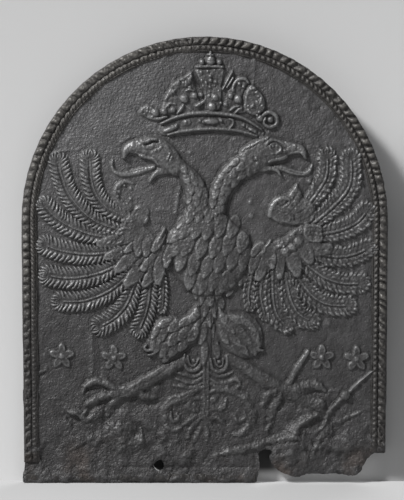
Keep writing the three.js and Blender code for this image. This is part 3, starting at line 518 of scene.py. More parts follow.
breast = new_figure("breast", -53, 71, 279, 418)
breast.cushion([[-28, 411], [-34, 396], [-46, 381], [-53, 365], [-53, 350], [-48, 335], [-45, 320],
                [-38, 305], [-28, 292], [-16, 283], [0, 279], [16, 280], [30, 285], [44, 295], [54, 307],
                [62, 320], [68, 335], [71, 350], [69, 364], [62, 376], [50, 384], [40, 394], [32, 405],
                [26, 414], [0, 419]], 3.6, 12.0, 4.4)
breast_scales = sized(37, 19.5,
                      [(-27, 381, -0.6), (-11, 382, -0.4), (5, 381, -0.3), (24, 385, -0.3), (43, 384, -0.3),
                       (-43, 372, -0.85), (-41, 354, -0.6), (-26, 356, -0.45), (-5, 352, -0.35),
                       (16, 354, -0.35), (36, 358, -0.35), (57, 362, -0.3), (-36, 334, -0.3),
                       (-16, 328, -0.3), (4, 324, -0.35), (23, 332, -0.35), (42, 336, -0.35),
                       (60, 334, -0.3), (-22, 306, -0.2), (-3, 300, -0.25), (15, 304, -0.35),
                       (31, 302, -0.4), (46, 308, -0.4), (58, 312, -0.35)])
breast_scales += sized(26, 15,
                       [(-22, 400, -0.4), (-8, 402, -0.3), (7, 402, -0.2), (21, 400, -0.2),
                        (-14, 414, -0.2), (2, 414, -0.1), (17, 414, 0), (-34, 391, -0.7), (6, 286, -0.2),
                        (22, 287, -0.3), (38, 291, -0.4), (-12, 288, -0.1)])
breast.scales(breast_scales, 3.5, 0.6)
print("breast scales:", len(breast_scales))

# %% The necks
neck = new_figure("left_neck", -48, 16, 398, 486)
neck.ridge([[-33, 470], [-21, 456], [-12, 434], [-8, 414]], [11, 15, 17.5, 20], 6.3)
neck.scales([(-31, 470, 16, 11, 0.5), (-21, 462, 17, 12, 0.5), (-27, 455, 18, 12, 0.35),
             (-15, 453, 18, 12, 0.4), (-5, 451, 16, 11, 0.3), (-21, 441, 20, 13, 0.15),
             (-9, 438, 20, 13, 0.15), (2, 437, 18, 12, 0.2), (-25, 427, 20, 14, -0.1),
             (-12, 424, 20, 14, 0.0), (1, 425, 20, 14, 0.0), (-20, 412, 20, 14, -0.2),
             (-6, 411, 20, 14, -0.1), (6, 412, 20, 13, 0.0)], 2.6)

neck = new_figure("right_neck", -4, 90, 398, 506)
neck.ridge([[64, 480], [46, 467], [29, 447], [20, 426], [16, 412]], [18, 17, 16, 15.5, 17], 6.3)
neck.scales([(44, 481, 20, 13, -0.95), (56, 474, 20, 13, -0.9), (34, 472, 20, 13, -0.9),
             (45, 465, 22, 14, -0.8), (56, 461, 18, 12, -0.8), (26, 461, 20, 13, -0.75),
             (36, 455, 22, 14, -0.7), (46, 450, 18, 12, -0.6), (20, 448, 20, 13, -0.5),
             (31, 441, 20, 14, -0.45), (16, 434, 20, 13, -0.25), (27, 427, 20, 14, -0.2),
             (35, 437, 16, 10, -0.4), (12, 421, 20, 13, -0.1), (23, 413, 20, 14, -0.05)], 2.6)
tell(2)

# %% The tongues
tongue = new_figure("left_tongue", -145, -70, 456, 488)
tongue.ridge([[-76, 474], [-90, 470], [-108, 465], [-124, 463], [-135, 467], [-139, 476], [-138, 484]],
             [3, 4.5, 5, 4.5, 3.8, 2.8, 1.5], 3.5)
tongue.groove([[-90, 471], [-104, 468], [-118, 465]], 1.6, 1.6)
tongue = new_figure("right_tongue", 100, 166, 456, 484)
tongue.ridge([[105, 474], [118, 471], [134, 466], [148, 464], [157, 468], [161, 477]],
             [3, 4.5, 5, 4.2, 3.2, 1.6], 3.5)
tongue.groove([[116, 472], [134, 466], [148, 463.5]], 1.6, 1.4)
tell(2)

# %% [markdown]
# A head starts as one cushion with a tapering ridge for its beak. Lines are then swelled or pressed on it:
# the lip, the brow, the lids, a few warts, and the feathers behind the cheek.

# %% The left head
head = new_figure("left_head", -127, -24, 449, 521)
head.cushion([[-98, 488], [-103, 500], [-104, 513], [-92, 518], [-80, 520.5], [-66, 518], [-54, 511],
              [-44, 502], [-36, 491], [-28, 480], [-24, 472], [-34, 462], [-46, 460], [-57, 464],
              [-66, 471], [-78, 480], [-88, 485]], 5.2, 12.0, 3.2)
head.ridge([[-90, 502], [-106, 504], [-117, 499], [-121, 488]], [13, 10.5, 7.5, 2.4], 7.4, 0.5)
head.ridge([[-58, 468], [-70, 466], [-78, 459], [-82, 452]], [5.5, 5, 3.5, 1.8], 4.6)
lip = [[-119, 487], [-112, 493], [-104, 494], [-96, 490], [-86, 487], [-77, 485], [-70, 477]]
head.swell(lip, [1.8, 2.2, 2.2, 2.0, 1.8], 1.5)
head.groove([[-117, 495], [-106, 497], [-94, 494], [-82, 491]], 2.6, 0.8)
head.boss(-78, 505.5, 4.4, 10.2, 0.85, 0.3, 0.35)
head.ridge([[-93, 511], [-86, 512], [-80, 515], [-72, 515]], [2.6, 3.4, 3.2, 2.4], 10.2)
head.groove([[-90, 507], [-84, 508], [-79, 511.5], [-70, 511.5]], 2.0, 2.8)
head.groove([[-88, 499], [-80, 499], [-72, 502]], 1.8, 1.6)
for spot in [(-108, 512), (-101, 514), (-97, 508), (-91, 503), (-87, 498), (-95, 515), (-74, 499),
             (-68, 500), (-65, 503), (-84, 517)]:
    head.bump(*spot, 2.4, 1.3)
for start in ([-56, 484], [-52, 482]):
    head.swell([start, [start[0] + 3.5, start[1] + 8]], [1.6, 1.3], 1.6)
head.groove([[-44, 504], [-39, 496], [-33, 485]], 2.0, 1.6)
head.groove([[-62, 512], [-54, 506], [-48, 498]], 1.8, 0.8)
tell(1)

# %% The right head
head = new_figure("right_head", 48, 155, 453, 521)
head.cushion([[98, 476], [88, 469], [76, 463], [64, 458], [52, 468], [48, 484], [52, 499], [61, 507],
              [73, 514], [85, 520], [98, 520.5], [110, 516], [121, 513.5], [127, 505], [126, 490],
              [118, 483], [107, 480]], 5.2, 12.0, 3.2)
head.ridge([[112, 500], [130, 502], [145, 499], [151, 488]], [13, 10.5, 7.8, 2.6], 7.2, 0.5)
head.ridge([[86, 471], [98, 472], [108, 469], [114, 461]], [5.5, 4.5, 3.5, 1.8], 4.4)
lip = [[96, 481], [104, 484], [116, 486], [125, 491], [134, 495], [142, 495], [149, 490]]
head.swell(lip, [1.6, 2.2, 2.4, 2.0, 1.6], 1.7)
head.boss(102.5, 505, 3.6, 9.8, 1.0, 0, 0.35)
head.ring(106, 503, 8.5, 2.2, 1.6, 0.72, -0.35)
head.groove([[97, 508], [103, 511], [110, 509], [118, 503], [122, 501]], 2.2, 2.4)
head.groove([[100, 499], [106, 497], [112, 498]], 1.6, 1.2)
head.swell([[101, 494], [108, 494], [115, 499]], [1.3, 1.8, 1.3], 1.5)
head.swell([[92, 507], [98, 514], [108, 514], [118, 509]], [1.8, 2.6, 2.4, 1.6], 1.6)
for spot in [(136, 506, 2.3), (77, 486, 2.6), (79, 479, 2.0), (120, 499, 2.0), (108, 505, 1.6),
             (122, 512, 2.4)]:
    head.bump(*spot, 1.8)
head.groove([[73, 489], [74, 483], [78, 482]], 1.8, 1.6)
for k in range(8):
    start = [56 + 5.2 * k, 498 + 2.4 * k]
    head.swell([start, [start[0] + 6.5, start[1] + 7.5]], [1.7, 1.2], 1.8)
head.groove([[60, 500], [72, 504], [84, 512]], 1.6, 1.2)
head.groove([[63, 466], [56, 474], [52, 486]], 2.0, 1.4)
tell(1)

# %% [markdown]
# ## The crown
#
# A closed crown: a curved band with jewels and pearls, two caps, a strap over the top with a cross of beads,
# and an orb. The band's mouldings are ridges along one arc, set at three heights.

# %% The crown's band
band = new_figure("crown_band", -70, 92, 512, 558)
band.ridge([[-60, 530], [-30, 537.5], [10, 541], [48, 537], [80, 524]], [9, 11.5, 12, 11.5, 9], 2.2, 0.12)
band.ridge([[-65, 539], [-42, 548.5], [-16, 554], [10, 554.5], [36, 552], [60, 545.5], [85, 530]],
           [2.2, 3.2, 3.6, 3.6, 3.4, 3.0, 2.0], 6.0)
band.groove([[-64, 536.5], [-41, 546], [-16, 550.5], [8, 551], [34, 548.5], [57, 543.5], [86, 526]],
            1.8, 2.4)
band.ridge([[-55, 522], [-40, 526], [-16, 529.5], [8, 531], [34, 530], [58, 526.5], [78, 520]],
           [1.8, 2.6, 3.0, 3.0, 3.0, 2.6, 1.8], 5.6)
for cx, cz, radius, flat, turn in [(10, 542, 12.5, 0.42, 0), (-51, 531, 13.5, 0.28, 0.36),
                                   (71, 529, 9.5, 0.36, -0.45)]:
    band.boss(cx, cz, radius, 6.2, flat, turn, 0.4)
for spot in [(-42, 537, 2.2), (-7, 542.6, 2.5), (25, 543, 2.5), (58.5, 536, 2.4), (63.5, 533, 2.4),
             (-2, 541, 2.0), (-28, 541, 2.0)]:
    band.boss(*spot, 6.4, power=0.4)
band.cushion([[-31, 535], [-31, 544], [-21, 545], [-21, 537]], 3.6, 2.0)
band.ridge([[38, 545.5], [42.5, 543], [42, 537], [38, 532.5]], [2.0, 2.2, 2.2, 1.8], 5.4)
tell(1)

# %% [markdown]
# The caps bulge out on both sides of the strap. Each carries pearls and small curls, and its border is strewn
# with leaf lumps. Their places are drawn with a fixed seed, so that every run makes the same crown.

# %% The caps
def leafy(figure, outline, height, shoulder, seed, lumps, lump_height):
    """A low cushion, strewn with little leaf lumps."""
    figure.cushion(outline, height, shoulder)
    spots = np.random.default_rng(seed)
    edge = np.array(outline, dtype=float)
    made = 0
    while made < lumps:
        cx = spots.uniform(edge[:, 0].min(), edge[:, 0].max())
        cz = spots.uniform(edge[:, 1].min(), edge[:, 1].max())
        if not within(edge, np.array([cx]), np.array([cz]))[0]:
            continue
        radius = spots.uniform(1.8, 3.0)
        figure.bump(cx, cz, radius, lump_height, 0.7, spots.uniform(0, 3))
        made += 1


cap = new_figure("crown_left_cap", -66, -4, 549, 620)
cap.cushion([[-62, 557], [-61, 574], [-55, 588], [-44, 602], [-31, 610], [-18, 616], [-17, 604], [-12, 588],
             [-7, 572], [-9, 556], [-36, 552]], 1.8, 4.0)
leafy(cap,
      [[-60, 574], [-55, 588], [-44, 602], [-31, 610], [-19, 617], [-18, 605], [-26, 594], [-38, 592],
       [-48, 582]], 3.6, 3.0, 61, 26, 1.9)
for spot in [(-30.5, 576, 7.3, 6.6), (-15.2, 580.7, 5.0, 5.8), (-5.5, 582, 4.0, 5.2),
             (-47.5, 559.5, 4.8, 5.8), (-55, 566, 3.0, 4.6), (-22, 593, 3.2, 4.8)]:
    cap.boss(*spot, power=0.45)
for points, width, height in [([[-41, 554], [-35, 561], [-32, 567]], 3.4, 4.8),
                              ([[-28, 565], [-22, 561], [-16, 557]], 1.5, 3.4),
                              ([[-13, 565], [-6, 569], [0, 573]], 3.6, 5.2),
                              ([[-58, 563], [-52, 569], [-43, 568]], 2.0, 4.2),
                              ([[-28, 588], [-22, 590], [-16, 588]], 1.8, 4.2)]:
    cap.ridge(points, [width * 0.6, width, width * 0.6], height)
cap.groove([[-15, 616], [-9, 603], [-2, 589]], 1.8, 1.4)

cap = new_figure("crown_right_cap", 26, 95, 545, 620)
cap.cushion([[30, 557], [31, 573], [36, 590], [42, 602], [54, 608.5], [64, 603], [64, 585], [62, 556]],
            1.8, 4.0)
leafy(cap,
      [[60, 558], [58, 573], [62, 588], [70, 598], [80, 590], [89, 579], [91, 566], [87, 556], [75, 550]],
      4.2, 4.0, 62, 24, 1.7)
cap.ridge([[42, 589], [44, 598], [51, 605], [60, 606], [66, 600]], [2, 3, 3.4, 3.2, 2], 5.0)
for points in ([[27, 590], [34, 603], [41.5, 617]], [[33, 593], [38, 600], [42.5, 608]]):
    cap.ridge(points, [1.5, 2.4, 1.8], 4.4)
for spot in [(50, 575, 6.8, 6.4), (38.8, 580, 4.6, 5.6), (42.6, 589.5, 3.6, 5.4), (52, 599, 3.4, 5.0),
             (58, 594, 3.0, 4.4), (31.5, 567.6, 3.8, 5.4), (24, 570, 2.4, 4.2), (60, 566, 2.4, 4.4)]:
    cap.boss(*spot, power=0.45)
for points in ([[38, 558], [44, 563], [51, 565]], [[46, 555], [51, 560], [56, 562]]):
    cap.ridge(points, [1.6, 2.6, 1.6], 4.2)
cap.groove([[58, 558], [57, 574], [60, 588], [67, 600]], 1.8, 1.6)
tell(2)

# %% The strap, the orb and the ends of the crown
strap = new_figure("crown_arch", -16, 33, 555, 623)
strap.cushion([[-14, 618], [8, 620.5], [30, 620], [26, 594], [25, 576], [21, 559], [1, 559], [-1, 575],
               [-2, 590]], 2.6, 2.2)
for spot in [(8.5, 610, 2.6, 5.0), (8.8, 603.6, 3.0, 5.6), (2.3, 600, 2.6, 5.0), (16.5, 601.5, 2.8, 5.2),
             (15.4, 596, 2.0, 4.4), (7.9, 594, 2.6, 5.0), (7.5, 587, 2.0, 4.4), (7, 581, 2.6, 4.8),
             (16, 578, 6.2, 6.2), (10.7, 563.6, 7.4, 6.6), (-5, 615.8, 2.2, 4.6), (-4.3, 603.6, 2.2, 4.6),
             (-2.4, 595, 2.0, 4.4), (15.4, 619, 2.2, 4.4), (22, 611, 2.0, 4.0), (0, 610, 1.8, 4.0),
             (5, 617, 2.0, 4.2), (21, 588, 1.8, 4.0)]:
    strap.boss(*spot, power=0.45)
strap.groove([[-14.6, 616], [-8, 603], [-1.5, 589]], 1.8, 1.8)
strap.groove([[30, 621], [28, 608], [25.7, 594]], 1.8, 1.8)

orb = new_figure("crown_orb_and_cross", -14, 30, 621, 649)
orb.ridge([[-11, 624], [8, 625], [27, 624]], [2.2, 3, 2.2], 4.6)
orb.boss(9, 633, 7.5, 7.6)
orb.boss(-4, 631, 4.4, 5.6)
orb.boss(22, 631, 4.4, 5.6)
orb.ridge([[8.7, 638], [8.7, 646]], [2.2, 2.2], 5.2)
orb.ridge([[5, 642], [12.4, 642]], [1.8, 1.8], 5.0)
orb.groove([[2, 634], [9, 632], [16, 634]], 1.2, 1.2)

end = new_figure("crown_left_fleuron", -100, -54, 542, 570)
leafy(end, [[-99, 554], [-95, 562], [-86, 567], [-77, 563], [-73, 556], [-75, 548], [-84, 547], [-93, 550]],
      3.0, 3.0, 63, 14, 1.8)
end.ridge([[-86, 549], [-72, 546], [-57, 549]], [2.6, 3, 2.2], 4.2)
end.boss(-74, 555, 6.3, 6.8)
end.boss(-61, 557, 5.4, 6.6)

end = new_figure("crown_right_scroll", 75, 113, 530, 562)
end.ridge([[86, 550], [96, 556], [107, 550], [108, 539], [98, 533.5], [89, 539], [91, 547]],
          [3, 3.6, 3.6, 3.6, 3.2, 3, 2.4], 4.6)
end.boss(98.5, 544.5, 5.0, 5.6)
end.boss(83, 547, 6.0, 6.4)
end.boss(79, 551, 2.6, 6.6)
print("crown pieces:", len([f for f in figures if f.name.startswith("crown")]))

# %% [markdown]
# ## Legs, tail and what the feet hold
#
# Below the breast the relief is lower and the fire has eaten it. The thighs keep their curly scales, the
# tail is a stem with pairs of scrolls, and the feet grip a sceptre, a sword and an orb.

# %% The thighs, with the curl at the knee
thigh = new_figure("left_thigh", -94, 0, 176, 272)
thigh.cushion([[-13, 269], [-30, 250], [-46, 251], [-62, 249], [-75, 240], [-82, 224], [-88, 207],
               [-82, 193], [-72, 187], [-60, 179], [-48, 185], [-34, 195], [-21, 206], [-9, 214], [-4, 236],
               [-5, 258]], 3.2, 9.0, 2.0)
thigh.scales([(-14, 252, 28, 15, -0.75), (-9, 234, 28, 14, -0.45), (-28, 243, 26, 15, -0.95),
              (-44, 236, 28, 16, -0.9), (-60, 240, 24, 14, -1.1), (-17, 223, 26, 15, -0.6),
              (-31, 224, 26, 15, -0.7), (-46, 216, 26, 16, -0.65), (-63, 222, 30, 13, -0.45),
              (-74, 226, 24, 12, -0.5), (-32, 207, 24, 14, -0.65), (-46, 199, 24, 14, -0.6),
              (-60, 200, 28, 13, -0.5), (-70, 205, 26, 12, -0.45), (-57, 188, 20, 12, -0.6),
              (-77, 210, 26, 11, -0.2)], 2.9, 0.5)
thigh.ridge([[-76, 210], [-80, 201], [-87, 199], [-90, 204], [-87, 207]], [3, 3.4, 3.2, 2.8, 2.0], 6.2)
thigh.ridge([[-73, 203], [-77, 194], [-84, 192]], [2.6, 2.8, 2.0], 5.2)

thigh = new_figure("right_thigh", 14, 92, 180, 268)
thigh.cushion([[21, 265], [32, 254], [48, 255.5], [64, 253.5], [78, 245], [86, 231], [88, 212], [84, 199],
               [74, 189], [60, 186], [46, 191], [32, 200], [22, 212], [17, 238]], 4.0, 9.0, 2.2)
thigh.scales([(28, 250, 26, 14, 0.3), (44, 247, 26, 12, 0.9), (58, 243, 28, 12, 1.1),
              (36, 234, 26, 13, 0.7), (52, 230, 28, 12, 0.9), (68, 236, 26, 12, 0.7),
              (30, 218, 22, 12, 0.5), (46, 214, 26, 12, 0.8), (62, 218, 26, 12, 0.7),
              (76, 222, 26, 12, 0.3), (58, 201, 24, 11, 0.7), (72, 202, 26, 11, 0.4),
              (80, 206, 22, 9, 0.2)], 1.9, 0.5)
thigh.ridge([[76, 206], [82, 200], [88, 199]], [4, 3, 1.6], 5.0)
tell(2)


# %% The legs
def toe_joints(figure, points, count, depth=1.1):
    """Cuts the creases between a toe's joints."""
    line = smooth_line(points)
    for k in range(1, count + 1):
        i = int(len(line) * k / (count + 1))
        ahead = line[min(i + 1, len(line) - 1)] - line[i - 1]
        side = np.array([-ahead[1], ahead[0]]) / np.hypot(*ahead) * 9
        figure.groove([line[i] - side, line[i], line[i] + side], 2.0, depth)


leg = new_figure("left_leg", -208, -24, 94, 202)
leg.ridge([[-28, 185], [-42, 177], [-64, 165], [-90, 150], [-114, 139]],
          [6, 9, 10, 10, 9], 5.8, 0.6, [0.5, 0.95, 1, 1, 0.95])
for points, widths in [([[-108, 139], [-130, 141.5], [-146, 148], [-164, 152], [-178, 145], [-182, 134]],
                        [7, 5, 5, 5, 4.4, 2.4]),
                       ([[-106, 137], [-128, 135], [-148, 129], [-168, 121], [-182, 109], [-190, 106]],
                        [8, 7.5, 6.5, 5.5, 4.2, 2.4]),
                       ([[-110, 135], [-128, 125], [-140, 113], [-148, 99]], [7, 6.5, 5.5, 2.6]),
                       ([[-104, 139], [-92, 131], [-80, 128], [-72, 129]], [6.5, 5, 4.6, 2.4]),
                       ([[-206, 104], [-194, 105], [-184, 100], [-176, 95], [-168, 103]],
                        [1.6, 3.2, 3.4, 3.0, 1.4])]:
    leg.ridge(points, [1.3 * w for w in widths], 5.2, 0.8, [1.1, 1, 0.9, 0.75])
for points, count in [([[-130, 141.5], [-146, 148], [-164, 152]], 2),
                      ([[-128, 135], [-148, 129], [-168, 121]], 2)]:
    toe_joints(leg, points, count)
leg.swell([[-48, 187], [-70, 171], [-112, 144]], [1.6, 2.4, 1.8], 1.1)
leg.groove([[-52, 176], [-76, 158], [-104, 144]], 2.6, 0.9)

leg = new_figure("right_leg", 28, 192, 72, 200)
leg.ridge([[36, 187], [48, 181], [68, 169], [92, 154], [118, 140]],
          [7, 9.5, 10, 10.5, 10], 4.6, 0.6, [0.5, 0.95, 1, 1, 0.95])
for points, widths in [([[112, 140], [132, 139], [150, 143], [168, 146], [180, 139]],
                        [8, 7, 6.5, 6.5, 3.0]),
                       ([[114, 141], [102, 136], [92, 129], [85, 117]], [7, 5.5, 4.6, 2.4]),
                       ([[116, 138], [109, 122], [101, 105], [94, 80]], [7, 5.0, 4.6, 2.2]),
                       ([[118, 138], [144, 129], [162, 120], [178, 108]], [8, 8.5, 8, 3.4])]:
    leg.ridge(points, [1.35 * w for w in widths], 4.2, 0.8, [1.1, 1, 0.9, 0.8])
leg.boss(171, 144, 8.0, 5.6, 0.85, 0.4, 0.4)
leg.boss(173, 119, 8.5, 5.2, 0.85, 0.2, 0.4)
toe_joints(leg, [[132, 139], [150, 143], [168, 146]], 2, 0.9)
tell(2)

# %% [markdown]
# The tail hangs as a stem of long leaves. Pairs of scrolls leave it on both sides, and a broad volute curls
# outwards on each side below them. All of them are ridges, so one list of lines draws them.

# %% The tail's stem
stem = new_figure("tail_stem", -46, 58, 58, 290)
stem.ridge([[5, 286], [6, 256], [4, 226], [2, 196], [2, 182]], [13, 13, 12, 10, 7], 2.6, 0.35)
stem.scales([(-6, 276, 24, 13, -0.3), (9, 277, 24, 13, 0.0), (24, 272, 22, 13, 0.3),
             (1, 262, 26, 13, -0.15), (15, 260, 26, 13, 0.1), (-7, 246, 24, 12, -0.4),
             (8, 246, 26, 12, 0.0), (-3, 224, 36, 14, -0.25), (17, 223, 32, 12, 0.15),
             (-1, 194, 38, 13, -0.12), (18, 200, 28, 13, 0.1), (27, 240, 22, 11, 0.4)], 3.0, 0.5)
stem.groove([[10.7, 262], [10.7, 220], [10.7, 184]], 1.6, 1.2)
stem.ridge([[2, 186], [2, 140], [1.5, 100], [1, 84]], [5.4, 5.2, 5, 3.6], 2.4, 0.3)
for dx in (-3.0, 3.6):
    stem.swell([[2 + dx, 180], [2 + dx, 140], [2 + dx * 0.8, 98]], [1.6, 1.8, 1.4], 1.6)
tell(1)

# %% The scrolls on the stem: points, half-widths and height
SCROLLS = [([[-30, 193], [-31, 181], [-24, 170], [-14, 169], [-6, 178], [-4, 190]], [2, 3, 3.6, 3.6, 3, 2],
            3.6), ([[-25, 190], [-22, 178], [-15, 176], [-9, 186]], [1.6, 2.2, 2.2, 1.4], 3.0),
           ([[9, 186], [12, 171], [24, 167], [33, 176], [33, 190]], [2, 3.2, 3.6, 3.4, 2], 3.6),
           ([[15, 186], [19, 176], [26, 175], [28, 186]], [1.6, 2.2, 2.2, 1.4], 3.0),
           ([[-2, 167], [-14, 160], [-28, 162], [-44, 166]], [2, 3, 3, 1.6], 2.8),
           ([[-3, 158], [-14, 151], [-26, 151], [-42, 156]], [2, 3.2, 3.2, 1.6], 2.8),
           ([[-5, 149], [-16, 143], [-30, 144], [-46, 146]], [2, 3, 3, 1.6], 2.6),
           ([[6, 167], [18, 160], [30, 161], [42, 166]], [2, 3, 3, 1.6], 2.8),
           ([[7, 158], [20, 150], [34, 151], [46, 155], [53, 150], [48, 142]], [2, 3.2, 3.2, 3, 2.8, 1.8],
            3.0), ([[8, 149], [20, 143], [34, 144], [44, 140]], [2, 3, 3, 1.6], 2.6),
           ([[-2, 127], [-10, 128], [-20, 124], [-24, 115], [-17, 108], [-10, 110]],
            [2.4, 3, 3.2, 3.2, 2.8, 2], 3.0),
           ([[10, 114], [20, 110], [29, 115], [32, 125]], [2.4, 3.4, 3.4, 2], 3.2),
           ([[-4, 104], [-16, 98], [-32, 87]], [2.4, 4.2, 2], 3.4),
           ([[-4, 98], [-18, 84], [-26, 68]], [2.4, 4.4, 2], 3.4),
           ([[-1, 90], [-10, 76], [-16, 62]], [2.4, 4.2, 2], 3.2),
           ([[2, 90], [4, 76], [2, 62]], [2.4, 4.2, 2], 3.0),
           ([[6, 96], [18, 97], [30, 88]], [2.4, 4.2, 2], 3.2),
           ([[6, 88], [16, 82], [24, 72]], [2.4, 4.4, 2], 3.0)]
for drawn in SCROLLS:
    stem.ridge(*drawn)
for spot in [(13.7, 125, 5.5), (-15, 117, 3.4), (22, 182, 3.4), (-16, 183, 3.2), (4, 92, 5.0)]:
    stem.boss(*spot, 3.6)
tell(1)

# %% The volutes
volute = new_figure("tail_left_volute", -72, 2, 70, 150)
volute.ridge([[-2, 144], [-14, 139], [-30, 128], [-46, 123], [-57, 113], [-61, 99], [-57, 85], [-46, 79],
              [-36, 83]], [2.5, 4.5, 6.5, 7, 7, 6.5, 5.5, 4, 2], 3.6, 0.35)
for points in ([[-14, 141], [-30, 130], [-48, 126], [-59, 115], [-64, 100], [-60, 84]],
               [[-18, 135], [-31, 124], [-45, 119.5], [-54, 111], [-57.5, 99], [-54, 88]]):
    volute.groove(points, 1.7, 1.2)
volute.ridge([[-50, 106], [-51, 98], [-45, 93], [-39, 97], [-41, 103]], [2, 3, 3.2, 2.8, 1.8], 3.6)
volute = new_figure("tail_right_volute", 6, 80, 62, 146)
volute.ridge([[8, 136], [28, 140], [46, 136], [60, 127], [69, 112], [70, 97], [65, 83], [55, 75], [44, 72]],
             [2.4, 3.4, 5, 6.5, 7, 7, 6.5, 5, 2.4], 3.6, 0.35)
for points in ([[40, 138], [62, 129], [73, 112], [74, 96], [67, 80]],
               [[42, 132], [58, 122], [65, 110], [66, 98], [61, 87]]):
    volute.groove(points, 1.7, 1.2)
volute.ridge([[45, 101], [49, 94], [56, 93], [61, 99], [60, 106]], [1.8, 2.8, 3.2, 3, 1.8], 3.6)
tell(2)

# %% Sceptre, sword and orb
rod = new_figure("sceptre", 119, 160, 145, 202)
rod.ridge([[127, 149], [140, 174], [155, 197]], [5.2, 5.2, 3.6], 3.6, 0.6)

sword = new_figure("sword", 9, 254, 34, 172)
for drawn in [([[252, 168], [236, 154], [220, 139], [206, 127], [188, 107]], [1.4, 2.5, 3.1, 3.5, 3.5],
               3.4), ([[190, 108], [184, 98], [181, 88], [176, 80]], [3.6, 3, 2.6, 2.2], 2.2),
              ([[172, 102], [158, 98], [144, 88], [132, 71]], [4, 7, 9, 8], 2.8),
              ([[136, 72], [118, 69], [100, 64], [68, 53], [46, 48], [14, 40]], [8, 6.5, 5.4, 5, 4.6, 2.4],
               3.2),
              ([[234, 107], [210, 96], [192, 87], [180, 77], [169, 57], [160, 38]],
               [1.8, 3.2, 3.6, 3.4, 3.0, 2.2], 2.4)]:
    sword.ridge(*drawn, 0.65)
sword.groove([[249, 164], [222, 140]], 1.4, 1.3)
sword.groove([[204, 123], [191, 109]], 1.3, 1.0)
sword.boss(211, 131, 8.5, 6.0, 0.8, 0.8, 0.4)
for cx, cz, radius in [(146, 95, 5.5), (158, 100, 5), (168, 102, 3.5), (138, 84, 5), (132, 74, 4.5),
                       (150, 90, 4)]:
    sword.boss(cx, cz, 1.3 * radius, 3.4, 0.7, 0.7, 0.8)

ball = new_figure("orb", -144, -92, 42, 94)
ball.boss(-118, 68, 25, 2.6, 0.95, 0, 0.35)
ball.press(-2.6 * np.exp(-((ball.x + 109) ** 2 + (ball.z - 73) ** 2) / 80))
ball.ridge([[-97, 82], [-94, 74], [-96, 64], [-106, 53]], [1.6, 3.2, 3.4, 1.8], 4.2)
ball.ridge([[-144, 87], [-136, 83], [-128, 81]], [1.6, 2.4, 1.6], 3.6)
ball.boss(-138, 89, 4.5, 4.2, 0.7, 0.3)
ball.boss(-126, 87, 5.5, 4.8, 0.5, 0.3)
tell(3)

# %% [markdown]
# ## Rosettes
#
# Four plain five-petalled rosettes fill the open places of the field beside the legs. Each petal is an oval
# boss with a dished face.

# %% Rosettes
PETALS = 5
for number, (cx, cz) in enumerate([(-214, 190), (-136, 187), (176, 188), (228, 186)], 1):
    rosette = new_figure(f"rosette_{number}", cx - 20, cx + 20, cz - 20, cz + 20)
    for k in range(PETALS):
        a = math.pi / 2 + k * 2 * math.pi / PETALS
        px, pz = cx + 10 * math.cos(a), cz + 10 * math.sin(a)
        rosette.boss(px, pz, 9.8, 3.2, 0.6, a, 0.3)
        rosette.bump(px, pz, 6.5, -0.9, 0.55, a)
    rosette.boss(cx, cz, 5.4, 4.8)
print("figures in all:", len(figures))

# %% [markdown]
# ## Casting the figures together
#
# All figures go on one canvas, the higher surface winning, and the canvas remembers whose surface it is. The
# field between them isn't plain either: it keeps scars, seams and drips from the mould.

# %% One canvas
for index, figure in enumerate(figures, 1):
    part = canvas[figure.r0:figure.r1, figure.c0:figure.c1]
    marks = owner[figure.r0:figure.r1, figure.c0:figure.c1]
    wins = (figure.h > part) & (figure.h > 0.25)
    marks[wins] = index
    part[wins] = figure.h[wins]
print("points of the canvas that carry a figure:", int((owner > 0).sum()))

# %% Scars and seams that the founder left in the field, as lines
field = Figure("field", LEFT, RIGHT, 0, TOP, 0)
scars = np.zeros(canvas.shape)
for points, width, height in [([[-37, 444], [-41, 424], [-44, 405]], 2.8, 1.5),
                              ([[-72, 409], [-62, 411], [-52, 409]], 1.4, 0.9),
                              ([[-232, 492], [-221, 497], [-205, 499], [-190, 500]], 1.8, 1.0),
                              ([[-207, 508], [-205, 513], [-203, 518]], 1.6, 0.9),
                              ([[-246, 488], [-250, 470], [-254, 440]], 2.6, 1.2),
                              ([[-235, 127], [-226, 127], [-218, 127]], 1.4, 0.9),
                              ([[73, 600], [74, 620], [74, 636]], 2.2, 0.8),
                              ([[-62, 634], [-57, 644], [-55, 650]], 1.6, 0.9),
                              ([[-170, 160], [-169, 190], [-171, 222]], 3.6, 1.2),
                              ([[-158, 160], [-157, 190], [-160, 222]], 3.0, -0.8),
                              ([[-168, 69], [-184, 60], [-201, 50]], 3.0, 1.6),
                              ([[-120, 56], [-132, 44], [-140, 40]], 3.0, 1.2),
                              ([[120, 225], [132, 231], [142, 234]], 2.4, 1.0),
                              ([[-128, 511], [-118, 516], [-112, 519]], 1.8, 1.0),
                              ([[-266, 159], [-250, 160], [-238, 165]], 2.4, -1.3),
                              ([[-264, 164], [-250, 165], [-238, 170]], 2.2, 0.9),
                              ([[183, 130], [190, 139], [200, 138]], 2.2, 1.1),
                              ([[184, 106], [181, 90], [169, 77], [158, 76]], 2.4, 1.2),
                              ([[131, 70], [143, 88], [169, 102]], 3.4, 1.6),
                              ([[-103, 99], [-80, 85], [-60, 70]], 6.0, 1.6),
                              ([[-108, 91], [-88, 78], [-70, 66]], 3.0, -1.0),
                              ([[-181, 111], [-160, 120], [-142, 126]], 4.2, -2.0),
                              ([[-176, 141], [-160, 143], [-146, 139]], 3.6, -1.8),
                              ([[-147, 98], [-137, 112], [-122, 124], [-108, 128]], 4.6, -2.2),
                              ([[-94, 118], [-84, 118], [-74, 120]], 4.0, -1.8),
                              ([[-204, 97], [-196, 99], [-188, 94]], 3.4, -1.6),
                              ([[78, 47], [76, 34], [76, 8]], 5.0, -1.0)]:
    _, off, _, _ = nearest(smooth_line(points), field.x, field.z)
    scars += height * np.exp(-(off / width) ** 2)
